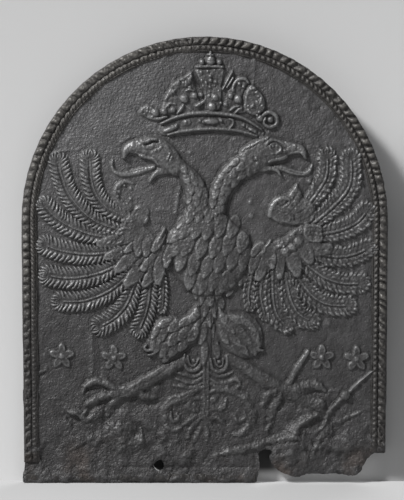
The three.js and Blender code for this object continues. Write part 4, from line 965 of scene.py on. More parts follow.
print("deepest seam:", round(float(scars.min()), 1), "mm")

# %% Drips and dents, as soft spots
for cx, cz, radius, height in [(-22, 496, 3.4, 1.9), (70, 400, 3.4, 1.8), (68, 421, 3.0, 1.6),
                               (157, 452, 3.0, 2.0), (-30, 499, 2.4, 1.2), (48, 497, 2.4, 1.2),
                               (46, 516, 2.6, 1.4), (-52, 494, 2.0, 1.2), (40, 505, 2.2, 1.0),
                               (60, 523, 2.2, 1.0), (-72, 468, 6.0, 0.9), (-110, 470, 7.0, -0.6),
                               (-74, 140, 8.0, 1.6), (122, 46, 20.0, 3.0), (104, 40, 8.0, 1.6),
                               (165, 49, 8.0, 1.6), (138, 58, 24.0, 3.4), (128, 92, 12.0, -1.6),
                               (160, 130, 10.0, -1.4), (-60, 66, 10.0, 1.4), (-90, 100, 12.0, 1.4),
                               (150, 122, 14.0, -1.2), (110, 97, 15.0, -1.4), (-126, 112, 8.0, -1.4),
                               (-112, 106, 9.0, 1.2), (52, 136, 10.0, -0.8), (210, 60, 20.0, 1.2),
                               (-62, 26, 9.0, 1.4), (-84, 30, 6.0, 1.0), (185, 240, 4.0, 1.0),
                               (-240, 190, 3.0, 1.0)]:
    scars += height * np.exp(-((field.x - cx) ** 2 + (field.z - cz) ** 2) / radius ** 2)

print("scars and bumps reach from", round(float(scars.min()), 1), "to", round(float(scars.max()), 1), "mm")

# %% [markdown]
# Molten iron doesn't keep a carver's corners, so a slight blur rounds every edge and fills every corner. Fire
# and rust then eat the lower third. There the canvas is shifted to and fro by a smooth noise, which turns
# outlines ragged, blurred far more, and roughened with lumps. Fine noise all over is the grain of the sand.

# %% A helper that samples a grid of values between its points
def sample(values, x, z):
    """The value of a canvas-sized array at any place, in millimetres."""
    c = np.clip((np.asarray(x) - LEFT) / STEP, 0, COLS - 1.001)
    r = np.clip(np.asarray(z) / STEP, 0, ROWS - 1.001)
    c0, r0 = c.astype(int), r.astype(int)
    fc, fr = c - c0, r - r0
    return ((values[r0, c0] * (1 - fc) + values[r0, c0 + 1] * fc) * (1 - fr)
            + (values[r0 + 1, c0] * (1 - fc) + values[r0 + 1, c0 + 1] * fc) * fr)


print("relief on the breast:", round(float(sample(canvas, 5, 350)), 1), "mm")

# %% How much of each place is worn away, from 0 to 1
low = np.clip((178 - field.z) / 110, 0, 1)
crumbled_wing = np.clip((field.x - 60) / 60, 0, 1) * np.clip((field.z - 200) / 40, 0, 1) * 0.3
wrist = 0.8 * np.exp(-((field.x + 113) / 34) ** 2 - ((field.z - 420) / 34) ** 2)
tail_wear = 0.45 * np.exp(-((field.x - 3) / 75) ** 2 - ((field.z - 115) / 65) ** 2)
thigh_wear = 0.4 * np.exp(-((field.x - 54) / 32) ** 2 - ((field.z - 222) / 34) ** 2)
eaten = np.clip(low * (0.80 + 0.25 * grain(40, 3)) + crumbled_wing, 0, 1)
blunt = np.clip(eaten + wrist + tail_wear + thigh_wear, 0, 1)
print("mean wear:", round(float(blunt.mean()), 3))

# %% Ragged outlines in the eaten part, least in the tail and the sword
tail_place = np.exp(-((field.x - 3) / 62) ** 4 - ((field.z - 125) / 85) ** 4)
ragged_zone = np.clip((175 - field.z) / 40, 0, 1) * (1 - 0.8 * tail_place)
ragged_zone *= 1 - 0.8 * np.clip((field.x - 160) / 25, 0, 1) * np.clip((field.z - 80) / 20, 0, 1)
shifted_x = field.x + ragged_zone * (0.9 * grain(9, 61) + 0.4 * grain(4, 62))
shifted_z = field.z + ragged_zone * (0.9 * grain(9, 63) + 0.4 * grain(4, 64))
canvas = sample(canvas, shifted_x, shifted_z) * (1 - 0.55 * tail_wear)
nearest_column = np.clip(np.round((shifted_x - xs[0]) / STEP).astype(int), 0, COLS - 1)
nearest_row = np.clip(np.round((shifted_z - zs[0]) / STEP).astype(int), 0, ROWS - 1)
owner = owner[nearest_row, nearest_column]
print("largest shift:", round(float(np.abs(shifted_x - field.x).max()), 1), "mm")

# %% The blur of the casting and the grain of the sand
DEEPEST, HIGHEST = -2.4, 11.6
soft = blurred(canvas, 0.5)
softer = blurred(canvas, 2.6)
cast = soft * (1 - 0.75 * blunt) + softer * 0.75 * blunt
sand = 0.10 * grain(2.0, 11) + 0.14 * grain(3.6, 12) + 0.17 * grain(8.0, 13) + 0.32 * grain(30.0, 14)
sand += np.clip((200 - field.z) / 80, 0, 1) * (0.12 * grain(1.8, 15) + 0.12 * grain(3.0, 16))
lumps = 0.20 * grain(2.0, 20) + 0.22 * grain(4.5, 23) + 0.50 * grain(9.0, 21) + 1.05 * grain(22.0, 22)
stipple = 0.10 * grain(1.7, 25) + 0.06 * grain(3.4, 26)
on_relief = np.clip(canvas / 3, 0, 1)
foot_roll = 1.6 * np.exp(-((field.z - 8) / 6.5) ** 2) * (1 + 0.5 * grain(12, 31))
foot_line = -1.4 * np.exp(-((field.z - 24) / 2.2) ** 2) * np.clip((field.x + 150) / 30, 0, 1)
surface = cast + 1.35 * scars + sand + stipple * on_relief + 1.25 * lumps * eaten
surface += (foot_roll + foot_line) * (field.x < 76)
surface = np.clip(surface, DEEPEST, HIGHEST)
print("highest point of the relief:", round(float(surface.max()), 2), "mm")

# %% [markdown]
# ## From heights to meshes
#
# Each figure becomes one mesh: a bmesh grid, with its points outside the figure deleted and the others pushed
# out by the canvas. The mesh reaches three grid steps past its own figure and dips under its neighbours
# there, so no seam can open. Its rim is then extruded back into the plate and closed.

# %% Masks on the canvas
def grown(mask, times=1):
    """The mask with a border of this many grid steps."""
    for _ in range(times):
        wide = mask.copy()
        wide[1:] |= mask[:-1]
        wide[:-1] |= mask[1:]
        wide[:, 1:] |= mask[:, :-1]
        wide[:, :-1] |= mask[:, 1:]
        mask = wide
    return mask


print("points of one point grown twice:", int(grown(np.pad([[True]], 3), 2).sum()))

# %% Who owns each point, and how far it stands above its surroundings
marked = owner.copy()
for _ in range(2):  # each figure keeps its own foot, where it runs out into the field
    for shift, axis in ((1, 0), (-1, 0), (1, 1), (-1, 1)):
        moved = np.roll(marked, shift, axis)
        marked = np.where((marked == 0) & (moved > 0), moved, marked)

crest = np.clip((surface - blurred(surface, 3.0)) / 1.5 + (surface - blurred(surface, 12.0)) / 14, -1, 1)
print("share of the field that is relief:", round(float((marked > 0).mean()), 3))


# %% A mesh from one window of the canvas
SINKS = (0.05, 0.3, 0.9)  # how far the border dips, one grid step after another
ROOT = FRONT + 3.0  # figures are rooted this deep in the plate


def close_back(bm, depth):
    """Extrudes the open rim straight back to this depth and closes it."""
    rim = [e for e in bm.edges if e.is_boundary]
    made = bmesh.ops.extrude_edge_only(bm, edges=rim)["geom"]
    for v in made:
        if isinstance(v, bmesh.types.BMVert):
            v.co.y = depth * MM
    rim = [e for e in bm.edges if e.is_boundary]
    bmesh.ops.holes_fill(bm, edges=rim, sides=0)
    bmesh.ops.recalc_face_normals(bm, faces=bm.faces)


def finished(bm, name, wear_and_shade, nodes):
    """Turns a bmesh into a smooth-shaded piece that stands for its CAD nodes."""
    mesh = bpy.data.meshes.new(name)
    bm.to_mesh(mesh)
    bm.free()
    mesh.polygons.foreach_set("use_smooth", np.ones(len(mesh.polygons), dtype=bool))
    co = np.empty(len(mesh.vertices) * 3)
    mesh.vertices.foreach_get("co", co)
    co = co.reshape(-1, 3) / MM
    layer = mesh.attributes.new("crest", "FLOAT", "POINT")
    layer.data.foreach_set("value", wear_and_shade(co).astype(np.float32))
    piece = bpy.data.objects.new(name, mesh)
    bpy.context.scene.collection.objects.link(piece)
    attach(piece, "root")
    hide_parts(*nodes)
    return piece


def front_wear_and_shade(co):
    """How far each point stands above its surroundings, for polish on the crests and soot and painted shade
    in the hollows; the sides and the back count as flat.
    """
    on_face = co[:, 1] < FRONT + 2.0
    return np.where(on_face, sample(crest, co[:, 0], co[:, 2]), 0.0)


def figure_mesh(index, figure):
    """The mesh of the points that one figure owns."""
    own = marked == index
    rows, cols = np.where(own)
    r0, r1 = max(rows.min() - 4, 0), min(rows.max() + 5, ROWS)
    c0, c1 = max(cols.min() - 4, 0), min(cols.max() + 5, COLS)
    own = own[r0:r1, c0:c1]
    top = surface[r0:r1, c0:c1].copy()
    reach = own
    for sink in SINKS:
        wider = grown(reach)
        top[wider & ~reach] -= sink
        reach = wider
    bm = bmesh.new()
    bmesh.ops.create_grid(bm, x_segments=c1 - c0 - 1, y_segments=r1 - r0 - 1, size=1)
    bm.verts.ensure_lookup_table()
    lost = []
    for v in bm.verts:
        c = round((v.co.x + 1) / 2 * (c1 - c0 - 1))
        r = round((v.co.y + 1) / 2 * (r1 - r0 - 1))
        if reach[r, c]:
            v.co = (xs[c0 + c] * MM, (FRONT - top[r, c]) * MM, zs[r0 + r] * MM)
        else:
            lost.append(v)
    bmesh.ops.delete(bm, geom=lost, context="VERTS")
    bmesh.ops.delete(bm, geom=[v for v in bm.verts if not v.link_faces], context="VERTS")
    close_back(bm, ROOT)
    return finished(bm, figure.name + "_iron", front_wear_and_shade, [figure.name])


relief = [figure_mesh(index, figure) for index, figure in enumerate(figures, 1)]
print("relief pieces:", len(relief), "faces:", sum(len(p.data.polygons) for p in relief))

# %% [markdown]
# ## The border
#
# Real cord was pressed into the sand along the edge, and beads inside it. These strips follow the edge, so
# their grids do too: one direction runs along the edge and the other across it. The twist of the cord is
# mirrored left and right, and the two halves meet in a blurred lump left of the middle. The border is worn
# toward the foot, so its height fades there, and each lobe of the cord gets a height of its own.

# %% A path along the edge
CROWN_SEAM = -20.0
LEFT_START, RIGHT_START = 31.0, 45.8


def edge_length(side, inset):
    """Length of one half of the border, measured at this inset."""
    start = LEFT_START if side < 0 else RIGHT_START
    seam = math.pi / 2 - side * CROWN_SEAM / ARCH
    return (SPRING - start) + (ARCH - inset) * seam


def edge_point(side, inset, run):
    """A point on the edge drawn in by an inset, run millimetres up from the border's lower end."""
    start = LEFT_START if side < 0 else RIGHT_START
    if run < SPRING - start:
        z = start + run
        half = FOOT_HALF + (ARCH - FOOT_HALF) * z / SPRING
        return side * (half - inset), z
    a = (run - (SPRING - start)) / (ARCH - inset)
    return side * (ARCH - inset) * math.cos(a), SPRING + (ARCH - inset) * math.sin(a)


print("edge length, left and right:", round(edge_length(-1, 0)), round(edge_length(1, 0)), "mm")


# %% A moulding that follows the edge
def border_wear_and_shade(co):
    """The crests of the border stand highest, so they are rubbed the most; its low places get soot and
    painted shade.
    """
    rise = FRONT - co[:, 1]
    return np.clip((rise - 3.6) / 3.0, -0.8, 1.0)


def strip(name, node, side, outer, inner, along, across, height):
    """A moulding from inset outer to inset inner. height(run, inset) gives its surface."""
    length = edge_length(side, (outer + inner) / 2)
    n = round(length / along)
    m = round((inner - outer) / across)
    bm = bmesh.new()
    bmesh.ops.create_grid(bm, x_segments=n, y_segments=m, size=1)
    for v in bm.verts:
        share, inwards = (v.co.x + 1) / 2, (v.co.y + 1) / 2
        inset = outer + (inner - outer) * inwards
        run = share * edge_length(side, inset)
        x, z = edge_point(side, inset, run)
        rise = height(share * length, inset, x, z) * min(0.25 + share * length / 16, 1)
        if inwards < 0.01 or inwards > 0.99 or share < 0.0005:
            rise = min(rise, 0.0) - 0.3
        v.co = (x * MM, (FRONT - rise) * MM, z * MM)
    close_back(bm, ROOT)
    return finished(bm, name, border_wear_and_shade, [node])


print("moulding tools:", border_wear_and_shade.__name__, strip.__name__)

# %% The cord
CORD_OUTER, CORD_INNER = 0.5, 13.5
CORD_RISE = 6.7
wobble = grain(16, 41)
fine = grain(5, 42)
rough = grain(2.6, 43)


def worn(x, z):
    """How much of the border's relief is left, from 0 to 1."""
    if x < 0:
        gone = 0.42 * min(max((330 - z) / 90, 0), 1)
    else:
        gone = 0.4 * min(max((140 - z) / 90, 0), 1)
    crown = 0.5 * math.exp(-((x + 30) / 26) ** 2) if z > 600 else 0
    return 1 - gone - crown


def cord_height(pitch):
    """The height of a cord whose lobes are this long."""
    def height(run, inset, x, z):
        v = (inset - 6.8) / 6.4
        phase = (run - 0.80 * (inset - 7.0)) / pitch + 0.12 * sample(wobble, x, z)
        lobe = round(phase)
        own = 0.80 + 0.20 * math.sin(12.9 * lobe + 1.3)  # no two lobes came out alike
        lump = min(0.50 + 0.62 * math.cos(2 * math.pi * (phase - lobe)), 1.0)
        lump = max(lump, 0.0) ** 0.7 * own
        across = max(1 - abs(v) ** 2.6, 0) ** 0.6
        left = worn(x, z)
        rise = CORD_RISE * across * (0.32 + 0.68 * (lump * left + (1 - left) * 0.4)) * (0.5 + 0.5 * left)
        pitted = 0.30 + 0.55 * (1 - left)
        return rise + pitted * (float(sample(fine, x, z)) + float(sample(rough, x, z))) * across
    return height


LEFT_TWIST, RIGHT_TWIST = 13.0, 12.4  # length of one lobe of the cord
mouldings = []
for side, hand, twist in ((-1, "left", LEFT_TWIST), (1, "right", RIGHT_TWIST)):
    mouldings.append(strip(f"{hand}_cable_iron", f"{hand}_cable", side, CORD_OUTER, CORD_INNER, 1.0, 0.9,
                           cord_height(twist)))
print("length of the left cord:", round(edge_length(-1, CORD_INNER / 2)), "mm")


# %% The beads and the fillet
BEAD_MIDDLE = 17.0  # how far the beads lie from the edge
BEAD_RADIUS = 3.6
LEFT_PITCH, RIGHT_PITCH = 6.6, 8.3
FILLET_MIDDLE = 22.0


def bead_height(run, inset, x, z):
    pitch = LEFT_PITCH if x < -30 else RIGHT_PITCH
    off = (run / pitch - round(run / pitch)) * pitch + 0.5 * float(sample(wobble, x, z))
    q = (off * off + (inset - BEAD_MIDDLE) ** 2) / BEAD_RADIUS ** 2
    left = worn(x, z)
    ball = 4.8 * max(1 - q, 0) ** 0.5 * (0.3 + 0.7 * left)
    base = 2.3 * max(1 - ((inset - BEAD_MIDDLE) / 4.6) ** 8, 0)
    return max(ball, base) + 0.14 * float(sample(fine, x, z)) + 0.16 * float(sample(rough, x, z))


def fillet_height(run, inset, x, z):
    left = worn(x, z) * (0.8 + 0.2 * float(sample(wobble, x, z)))
    ridge = 2.8 * max(1 - ((inset - FILLET_MIDDLE) / 1.1) ** 2, 0) ** 0.6
    second = 1.1 * max(1 - ((inset - 23.8) / 0.8) ** 2, 0) ** 0.6
    floor = 1.5 if inset < FILLET_MIDDLE else 0.0
    return max(max(ridge, second) * min(max(left, 0.15), 1), floor)


for side, hand in ((-1, "left"), (1, "right")):
    mouldings.append(strip(f"{hand}_bead_row_iron", f"{hand}_bead_row", side, 12.6, 21.6, 0.85, 0.66,
                           bead_height))
    mouldings.append(strip(f"{hand}_fillet_iron", f"{hand}_fillet", side, 20.7, 24.3, 2.0, 0.4,
                           fillet_height))
print("beads up the left side:", round(edge_length(-1, BEAD_MIDDLE) / LEFT_PITCH))


# %% The moulding along the foot
def foot_moulding():
    """The lumpy roll along the foot, which ends where the corner broke off."""
    left, right, low, high = -270.5, 76.3, 2.0, 14.0
    bm = bmesh.new()
    bmesh.ops.create_grid(bm, x_segments=360, y_segments=12, size=1)
    for v in bm.verts:
        x = left + (right - left) * (v.co.x + 1) / 2
        z = low + (high - low) * (v.co.y + 1) / 2
        across = max(1 - ((z - 8) / 6) ** 2, 0) ** 0.5
        lump = 0.5 + 0.5 * math.cos(2 * math.pi * (x / 14 + 0.25 * float(sample(wobble, x, z))))
        drip = 0.35 + 0.65 * min(max((x + 150) / 40, 0), 1)
        rise = across * (1.3 + 1.5 * lump * drip) + 0.3 * float(sample(fine, x, z)) * across
        if abs(v.co.x) > 0.999 or abs(v.co.y) > 0.999:
            rise = -0.3
        v.co = (x * MM, (FRONT - min(rise, 3.0)) * MM, z * MM)
    close_back(bm, ROOT)
    return finished(bm, "foot_moulding_iron", border_wear_and_shade, ["foot_moulding"])


mouldings.append(foot_moulding())
print("mouldings:", len(mouldings))

# %% [markdown]
# ## The plate
#
# The plate's outline is a straight foot, two nearly straight sides and half a circle, until the fire broke
# the lower right corner off. A coarser grid carries the field. Its border points are snapped onto the
# outline and rolled back a little. Its faces are then extruded to the back, which is flat, as it was open to
# the air in the mould. The back's many faces are dissolved into two, which meet at the burnt hole.

# %% The outline
left_side = [[-272.5, 0.5], [-272.6, 12], [-270.0, 30],
             [-270.6, 80], [-272.8, 135], [-271.6, 150], [-273.5, 235], [-274.5, 330], [-275, 395]]
right_side = [[275, 395], [273.6, 235], [272.4, 127], [270.6, 100], [270.8, 50], [269, 44.6]]
broken = [[262, 44.8], [254, 43.5], [248, 40], [241, 31], [233, 17], [222, 11], [210, 12.5], [197, 14],
          [177, 13.5], [156, 13.5], [144, 9.6], [133, 9.4], [122, 13], [110, 19], [102, 27], [97.5, 38],
          [101, 47.5], [94, 50.6], [86, 50], [81.5, 46], [81, 34], [82, 22], [79.5, 10], [76.5, 0.4]]
burnt_hole = [[-77, 25],
              [-75, 30], [-70, 34], [-65, 35], [-62, 31], [-61, 26], [-63, 20], [-68, 18], [-73, 20]]


def ragged(points, amount, seed, parts=8):
    """The line through the points, roughened inwards and outwards by up to this much."""
    line = smooth_line(points, parts=parts)
    noise = np.random.default_rng(seed).normal(size=len(line))
    noise = np.convolve(noise, [0.25, 0.5, 0.25], mode="same")
    noise[[0, -1]] = 0
    across = np.gradient(line, axis=0)[:, ::-1] * [1, -1]
    across /= np.hypot(*across.T)[:, None] + 1e-9
    return line + across * (noise * amount)[:, None]


ARCH_POINTS = 420
turns = np.linspace(0, math.pi, ARCH_POINTS)
arch_line = np.array([[-ARCH * math.cos(a), SPRING + ARCH * math.sin(a)] for a in turns])
arch_dip = 0.35 + 0.35 * np.sin(np.linspace(0, math.pi * 66, ARCH_POINTS))
arch_middle = np.array([0, SPRING])
arch_line = arch_middle + (arch_line - arch_middle) * (1 - arch_dip / ARCH)[:, None]
outline = np.vstack([ragged(left_side, 0.35, 51), arch_line[1:-1], ragged(right_side, 0.3, 52),
                     ragged(broken, 0.8, 53)])
outline[:, 0] = np.clip(outline[:, 0], 0.1 - ARCH, ARCH - 0.1)
outline[:, 1] = np.clip(outline[:, 1], 0.0, HEIGHT - 0.1)
foot_line_points = np.array([[x, 0.0] for x in np.linspace(75, -271, 170)])
outline = np.vstack([outline, foot_line_points])
hole = smooth_line(burnt_hole, closed=True, parts=4)
print("outline points:", len(outline))

# %% The plate's mesh
PLATE_STEP = 1.9
FIELD_SINK = 1.2  # the plate dips this far below the figures that stand on it


def snapped(points, line):
    """Each point's nearest spot on a closed line, and how far away it is."""
    ends = np.roll(line, -1, axis=0)
    way = ends - line
    size = (way ** 2).sum(axis=1) + 1e-12
    spots = []
    for p in points:
        t = np.clip(((p - line) * way).sum(axis=1) / size, 0, 1)
        on_line = line + way * t[:, None]
        spots.append(on_line[((on_line - p) ** 2).sum(axis=1).argmin()])
    spots = np.array(spots)
    return spots, np.hypot(*(spots - points).T)


def part_touching_rims(bm):
    """Deletes points where two rims touch, or that hold no face, until every rim is a plain loop."""
    while True:
        weak = [v for v in bm.verts if not v.link_faces or sum(e.is_boundary for e in v.link_edges) > 2]
        if not weak:
            return
        bmesh.ops.delete(bm, geom=weak, context="VERTS")


def plate_mesh():
    """The plate with its field, its ragged edge, its hole and its flat back."""
    bm = bmesh.new()
    columns, rows = round(2 * ARCH / PLATE_STEP), round(HEIGHT / PLATE_STEP)
    bmesh.ops.create_grid(bm, x_segments=columns, y_segments=rows, size=1)
    x = np.array([v.co.x for v in bm.verts]) * ARCH
    z = (np.array([v.co.y for v in bm.verts]) + 1) * HEIGHT / 2
    keep = within(outline, x, z) & ~within(hole, x, z)
    for v, px, pz in zip(bm.verts, x, z):
        v.co = (px, 0, pz)
    bmesh.ops.delete(bm, geom=[v for v, k in zip(bm.verts[:], keep) if not k], context="VERTS")
    part_touching_rims(bm)
    rim = [v for v in bm.verts if v.is_boundary]
    points = np.array([(v.co.x, v.co.z) for v in rim])
    edge_spots, edge_gap = snapped(points, outline)
    hole_spots, hole_gap = snapped(points, hole)
    for v, edge, opening, to_edge, to_hole in zip(rim, edge_spots, hole_spots, edge_gap, hole_gap):
        v.co.x, v.co.z = edge if to_edge < to_hole else opening
    x = np.array([v.co.x for v in bm.verts])
    z = np.array([v.co.z for v in bm.verts])
    top = sample(surface, x, z) - FIELD_SINK * (sample((marked > 0).astype(float), x, z) > 0.5)
    lips = set(rim)
    for v, rise in zip(bm.verts, top):
        drop = 1.0 if v in lips else 0.0
        v.co = (v.co.x * MM, (FRONT - rise + drop) * MM, v.co.z * MM)
    fronts = bm.faces[:]
    made = bmesh.ops.extrude_face_region(bm, geom=fronts, use_keep_orig=True)["geom"]
    backs = [g for g in made if isinstance(g, bmesh.types.BMFace)]
    for v in {v for f in backs for v in f.verts}:
        v.co.y = BACK * MM
    hole_x = hole[:, 0].mean() * MM
    halves = [[f for f in backs if (f.calc_center_median().x > hole_x) == right] for right in (False, True)]
    for half in halves:
        bmesh.ops.dissolve_faces(bm, faces=half, use_verts=True)
    bmesh.ops.recalc_face_normals(bm, faces=bm.faces)
    print("open edges left on the plate:", sum(e.is_boundary for e in bm.edges))
    piece = finished(bm, "plate_iron", front_wear_and_shade, ["plate"])
    piece.data.set_sharp_from_angle(angle=math.radians(55))
    return piece


plate = plate_mesh()
print("plate faces:", len(plate.data.polygons))

# %% [markdown]
# ## Iron
#
# Old cast iron is nearly black and half metallic. Hands and brushes polish what stands proud, and rust blooms
# where ash lay. Soot darkens the hollows and the plate toward the foot, and painted shade goes into the same
# colour: the hollows, the lower part and the right part are painted darker, and a painted highlight lightens
# the upper left, nearest the key lamp. One node group makes the mottled colour, the polish and this painted
# light and shade from a crest attribute that the mesh carries and from the place on the plate, and another
# makes the grain of the sand. Both groups are used by all three irons, each with its own values.

# %% Short ways to make a node
def new_group(name, inputs, outputs):
    group = bpy.data.node_groups.new(name, "ShaderNodeTree")
    for label, kind, value in inputs:
        socket = group.interface.new_socket(label, in_out="INPUT", socket_type=kind)
        socket.default_value = value
    for label, kind in outputs:
        group.interface.new_socket(label, in_out="OUTPUT", socket_type=kind)
    return group, group.nodes.new("NodeGroupInput").outputs, group.nodes.new("NodeGroupOutput").inputs


def node(tree, kind, **settings):
    made = tree.nodes.new(kind)
    for key, value in settings.items():
        setattr(made, key, value)
    return made


def mixed(tree, factor, a, b, kind="MIX"):
    mix = node(tree, "ShaderNodeMix", data_type="RGBA", blend_type=kind)
    for socket, value in ((mix.inputs[0], factor), (mix.inputs[6], a), (mix.inputs[7], b)):
        if isinstance(value, bpy.types.NodeSocket):
            tree.links.new(value, socket)
        else:
            socket.default_value = value
    return mix.outputs[2]


def ranged(tree, value, low, high, to_low=0.0, to_high=1.0):
    ramp = node(tree, "ShaderNodeMapRange", interpolation_type="SMOOTHSTEP")
    tree.links.new(value, ramp.inputs["Value"])
    for key, number in (("From Min", low), ("From Max", high), ("To Min", to_low), ("To Max", to_high)):
        ramp.inputs[key].default_value = number
    return ramp.outputs[0]


def noise_at(tree, place, scale, detail=3.0, rough=0.55):
    noise = node(tree, "ShaderNodeTexNoise")
    noise.inputs["Scale"].default_value = scale
    noise.inputs["Detail"].default_value = detail
    noise.inputs["Roughness"].default_value = rough
    tree.links.new(place, noise.inputs["Vector"])
    return noise.outputs["Fac"]


def math_of(tree, operation, a, b=0.0, clamp=True):
    made = node(tree, "ShaderNodeMath", operation=operation, use_clamp=clamp)
    for socket, value in zip(made.inputs, (a, b)):
        if isinstance(value, bpy.types.NodeSocket):
            tree.links.new(value, socket)
        else:
            socket.default_value = value
    return made.outputs[0]


def times(tree, a, b):
    return math_of(tree, "MULTIPLY", a, b)


print("helpers:", [f.__name__ for f in (node, mixed, ranged, noise_at, math_of, times)])

# %% A node group for colour, polish, and painted light and shade
iron_look, look_in, look_out = new_group(
    "iron_wear_and_painted_light",
    [("Crest", "NodeSocketFloat", 0.0), ("Iron", "NodeSocketColor", (0.05, 0.05, 0.05, 1)),
     ("Polish", "NodeSocketColor", (0.13, 0.13, 0.13, 1)),
     ("Rust", "NodeSocketColor", (0.11, 0.045, 0.02, 1)),
     ("Soot", "NodeSocketColor", (0.018, 0.017, 0.017, 1))],
    [("Color", "NodeSocketColor"), ("Roughness", "NodeSocketFloat")])
tree = iron_look
crest_in, soot_and_shade, polish_and_light = look_in["Crest"], look_in["Soot"], look_in["Polish"]
place = node(tree, "ShaderNodeTexCoord").outputs["Object"]
patches = noise_at(tree, place, 14, 5.0, 0.6)
specks = noise_at(tree, place, 260, 2.0, 0.6)
mottle = noise_at(tree, place, 60, 4.0, 0.6)
split = node(tree, "ShaderNodeSeparateXYZ")
tree.links.new(place, split.inputs[0])
across, upwards = split.outputs[0], split.outputs[2]

# soot in mottles; soot and painted shade toward the foot; painted shade on the right; a painted highlight at
# the upper left; soot and painted shade in every hollow
base = mixed(tree, ranged(tree, mottle, 0.3, 0.7, 0.0, 0.5), look_in["Iron"], soot_and_shade)
# soot and painted shade: darker toward the foot, more on the left, as the light falls off downwards
foot_soot_and_shade = times(tree, ranged(tree, upwards, 0.42, 0.16, 0.0, 0.62), ranged(tree, across, -0.26, 0.15, 1.0, 0.6))
base = mixed(tree, foot_soot_and_shade, base, soot_and_shade)
# painted shade: right of the middle the plate is darker, as if further from the key lamp
base = mixed(tree, ranged(tree, across, -0.13, -0.01, 0.0, 0.19), base, soot_and_shade)
# painted light: the upper left, nearest the key lamp, is lighter
painted_light_upper_left = times(tree, ranged(tree, across, 0.0, -0.09, 0.0, 0.3), ranged(tree, upwards, 0.42, 0.55))
base = mixed(tree, painted_light_upper_left, base, polish_and_light)
# soot and painted shade: the hollows are darker
base = mixed(tree, ranged(tree, crest_in, -0.1, -0.8, 0.0, 0.4), base, soot_and_shade)

# polish on the crests, in patches, and less of it near the foot
rubbed = times(tree, ranged(tree, crest_in, 0.05, 0.8), ranged(tree, patches, 0.25, 0.6, 0.45, 1.0))
rubbed = times(tree, rubbed, ranged(tree, upwards, 0.13, 0.26, 0.3, 1.0))
base = mixed(tree, rubbed, base, polish_and_light)

# rust near the foot, and in a few specks all over
rusty = times(tree, ranged(tree, patches, 0.52, 0.72), ranged(tree, upwards, 0.09, 0.0, 0.0, 0.4))
rusty = math_of(tree, "MAXIMUM", rusty, times(tree, ranged(tree, specks, 0.66, 0.8), 0.35))
tree.links.new(mixed(tree, rusty, base, look_in["Rust"]), look_out["Color"])
dull = math_of(tree, "ADD", ranged(tree, mottle, 0.3, 0.7, 0.50, 0.64), times(tree, rusty, 0.3))
dull = math_of(tree, "SUBTRACT", dull, times(tree, rubbed, 0.13))
tree.links.new(dull, look_out["Roughness"])
print("iron_wear_and_painted_light nodes:", len(tree.nodes))

# %% [markdown]
# The grain is a height for a Bump node. Bumps much smaller than a pixel of the picture only average out and
# make iron look smoother, so the noise is kept coarse, with few octaves. It is stronger on the left, at the
# top and toward the foot, where the sand was rougher.

# %% A node group for the grain of the sand
sand_grain, grain_in, grain_out = new_group("sand_grain", [("Pits", "NodeSocketFloat", 0.5)],
                                            [("Height", "NodeSocketFloat")])
tree = sand_grain
place = node(tree, "ShaderNodeTexCoord").outputs["Object"]
cells = node(tree, "ShaderNodeTexVoronoi", feature="F1")
cells.inputs["Scale"].default_value = 210
tree.links.new(place, cells.inputs["Vector"])
pits = ranged(tree, cells.outputs["Distance"], 0.0, 0.3, 1.0, 0.0)
pits = math_of(tree, "MULTIPLY", pits, grain_in["Pits"], clamp=False)
total = math_of(tree, "SUBTRACT", times(tree, noise_at(tree, place, 330, 1.0, 0.5), 0.5), pits, clamp=False)
split = node(tree, "ShaderNodeSeparateXYZ")
tree.links.new(place, split.inputs[0])
across, upwards = split.outputs[0], split.outputs[2]
rougher = math_of(tree, "MAXIMUM", ranged(tree, upwards, 0.22, 0.08, 0.0, 0.44),
                  ranged(tree, upwards, 0.42, 0.52, 0.0, 0.36))
left_share = ranged(tree, across, 0.10, -0.10, 0.55, 0.85)
share = math_of(tree, "ADD", left_share, times(tree, rougher, 0.3), clamp=False)
total = math_of(tree, "MULTIPLY", total, share, clamp=False)
folds = times(tree, noise_at(tree, place, 200, 2.0, 0.5), rougher)
tree.links.new(math_of(tree, "ADD", total, folds, clamp=False), grain_out["Height"])
print("sand_grain nodes:", len(tree.nodes))


# %% The three irons
RUST = (0.10, 0.068, 0.05, 1)
GRAIN_DEPTH = 0.0036  # metres


def iron(name, tone, polish_and_light, pits, metallic, bump):
    """An iron with its own dark tone, its own polished tone, which is also the tone of its painted light, and
    its own share of pits and grain.
    """
    material = bpy.data.materials.new(name)
    material.use_nodes = True
    tree = material.node_tree
    shader = tree.nodes["Principled BSDF"]
    look = node(tree, "ShaderNodeGroup", node_tree=iron_look)
    look.inputs["Iron"].default_value = tone
    look.inputs["Polish"].default_value = polish_and_light
    look.inputs["Rust"].default_value = RUST
    crest_value = node(tree, "ShaderNodeAttribute", attribute_name="crest")
    tree.links.new(crest_value.outputs["Fac"], look.inputs["Crest"])
    tree.links.new(look.outputs["Color"], shader.inputs["Base Color"])
    tree.links.new(look.outputs["Roughness"], shader.inputs["Roughness"])
    shader.inputs["Metallic"].default_value = metallic
    texture = node(tree, "ShaderNodeGroup", node_tree=sand_grain)
    texture.inputs["Pits"].default_value = pits
    bumps = node(tree, "ShaderNodeBump")
    bumps.inputs["Strength"].default_value = bump
    bumps.inputs["Distance"].default_value = GRAIN_DEPTH
    tree.links.new(texture.outputs["Height"], bumps.inputs["Height"])
    tree.links.new(bumps.outputs["Normal"], shader.inputs["Normal"])
    return material


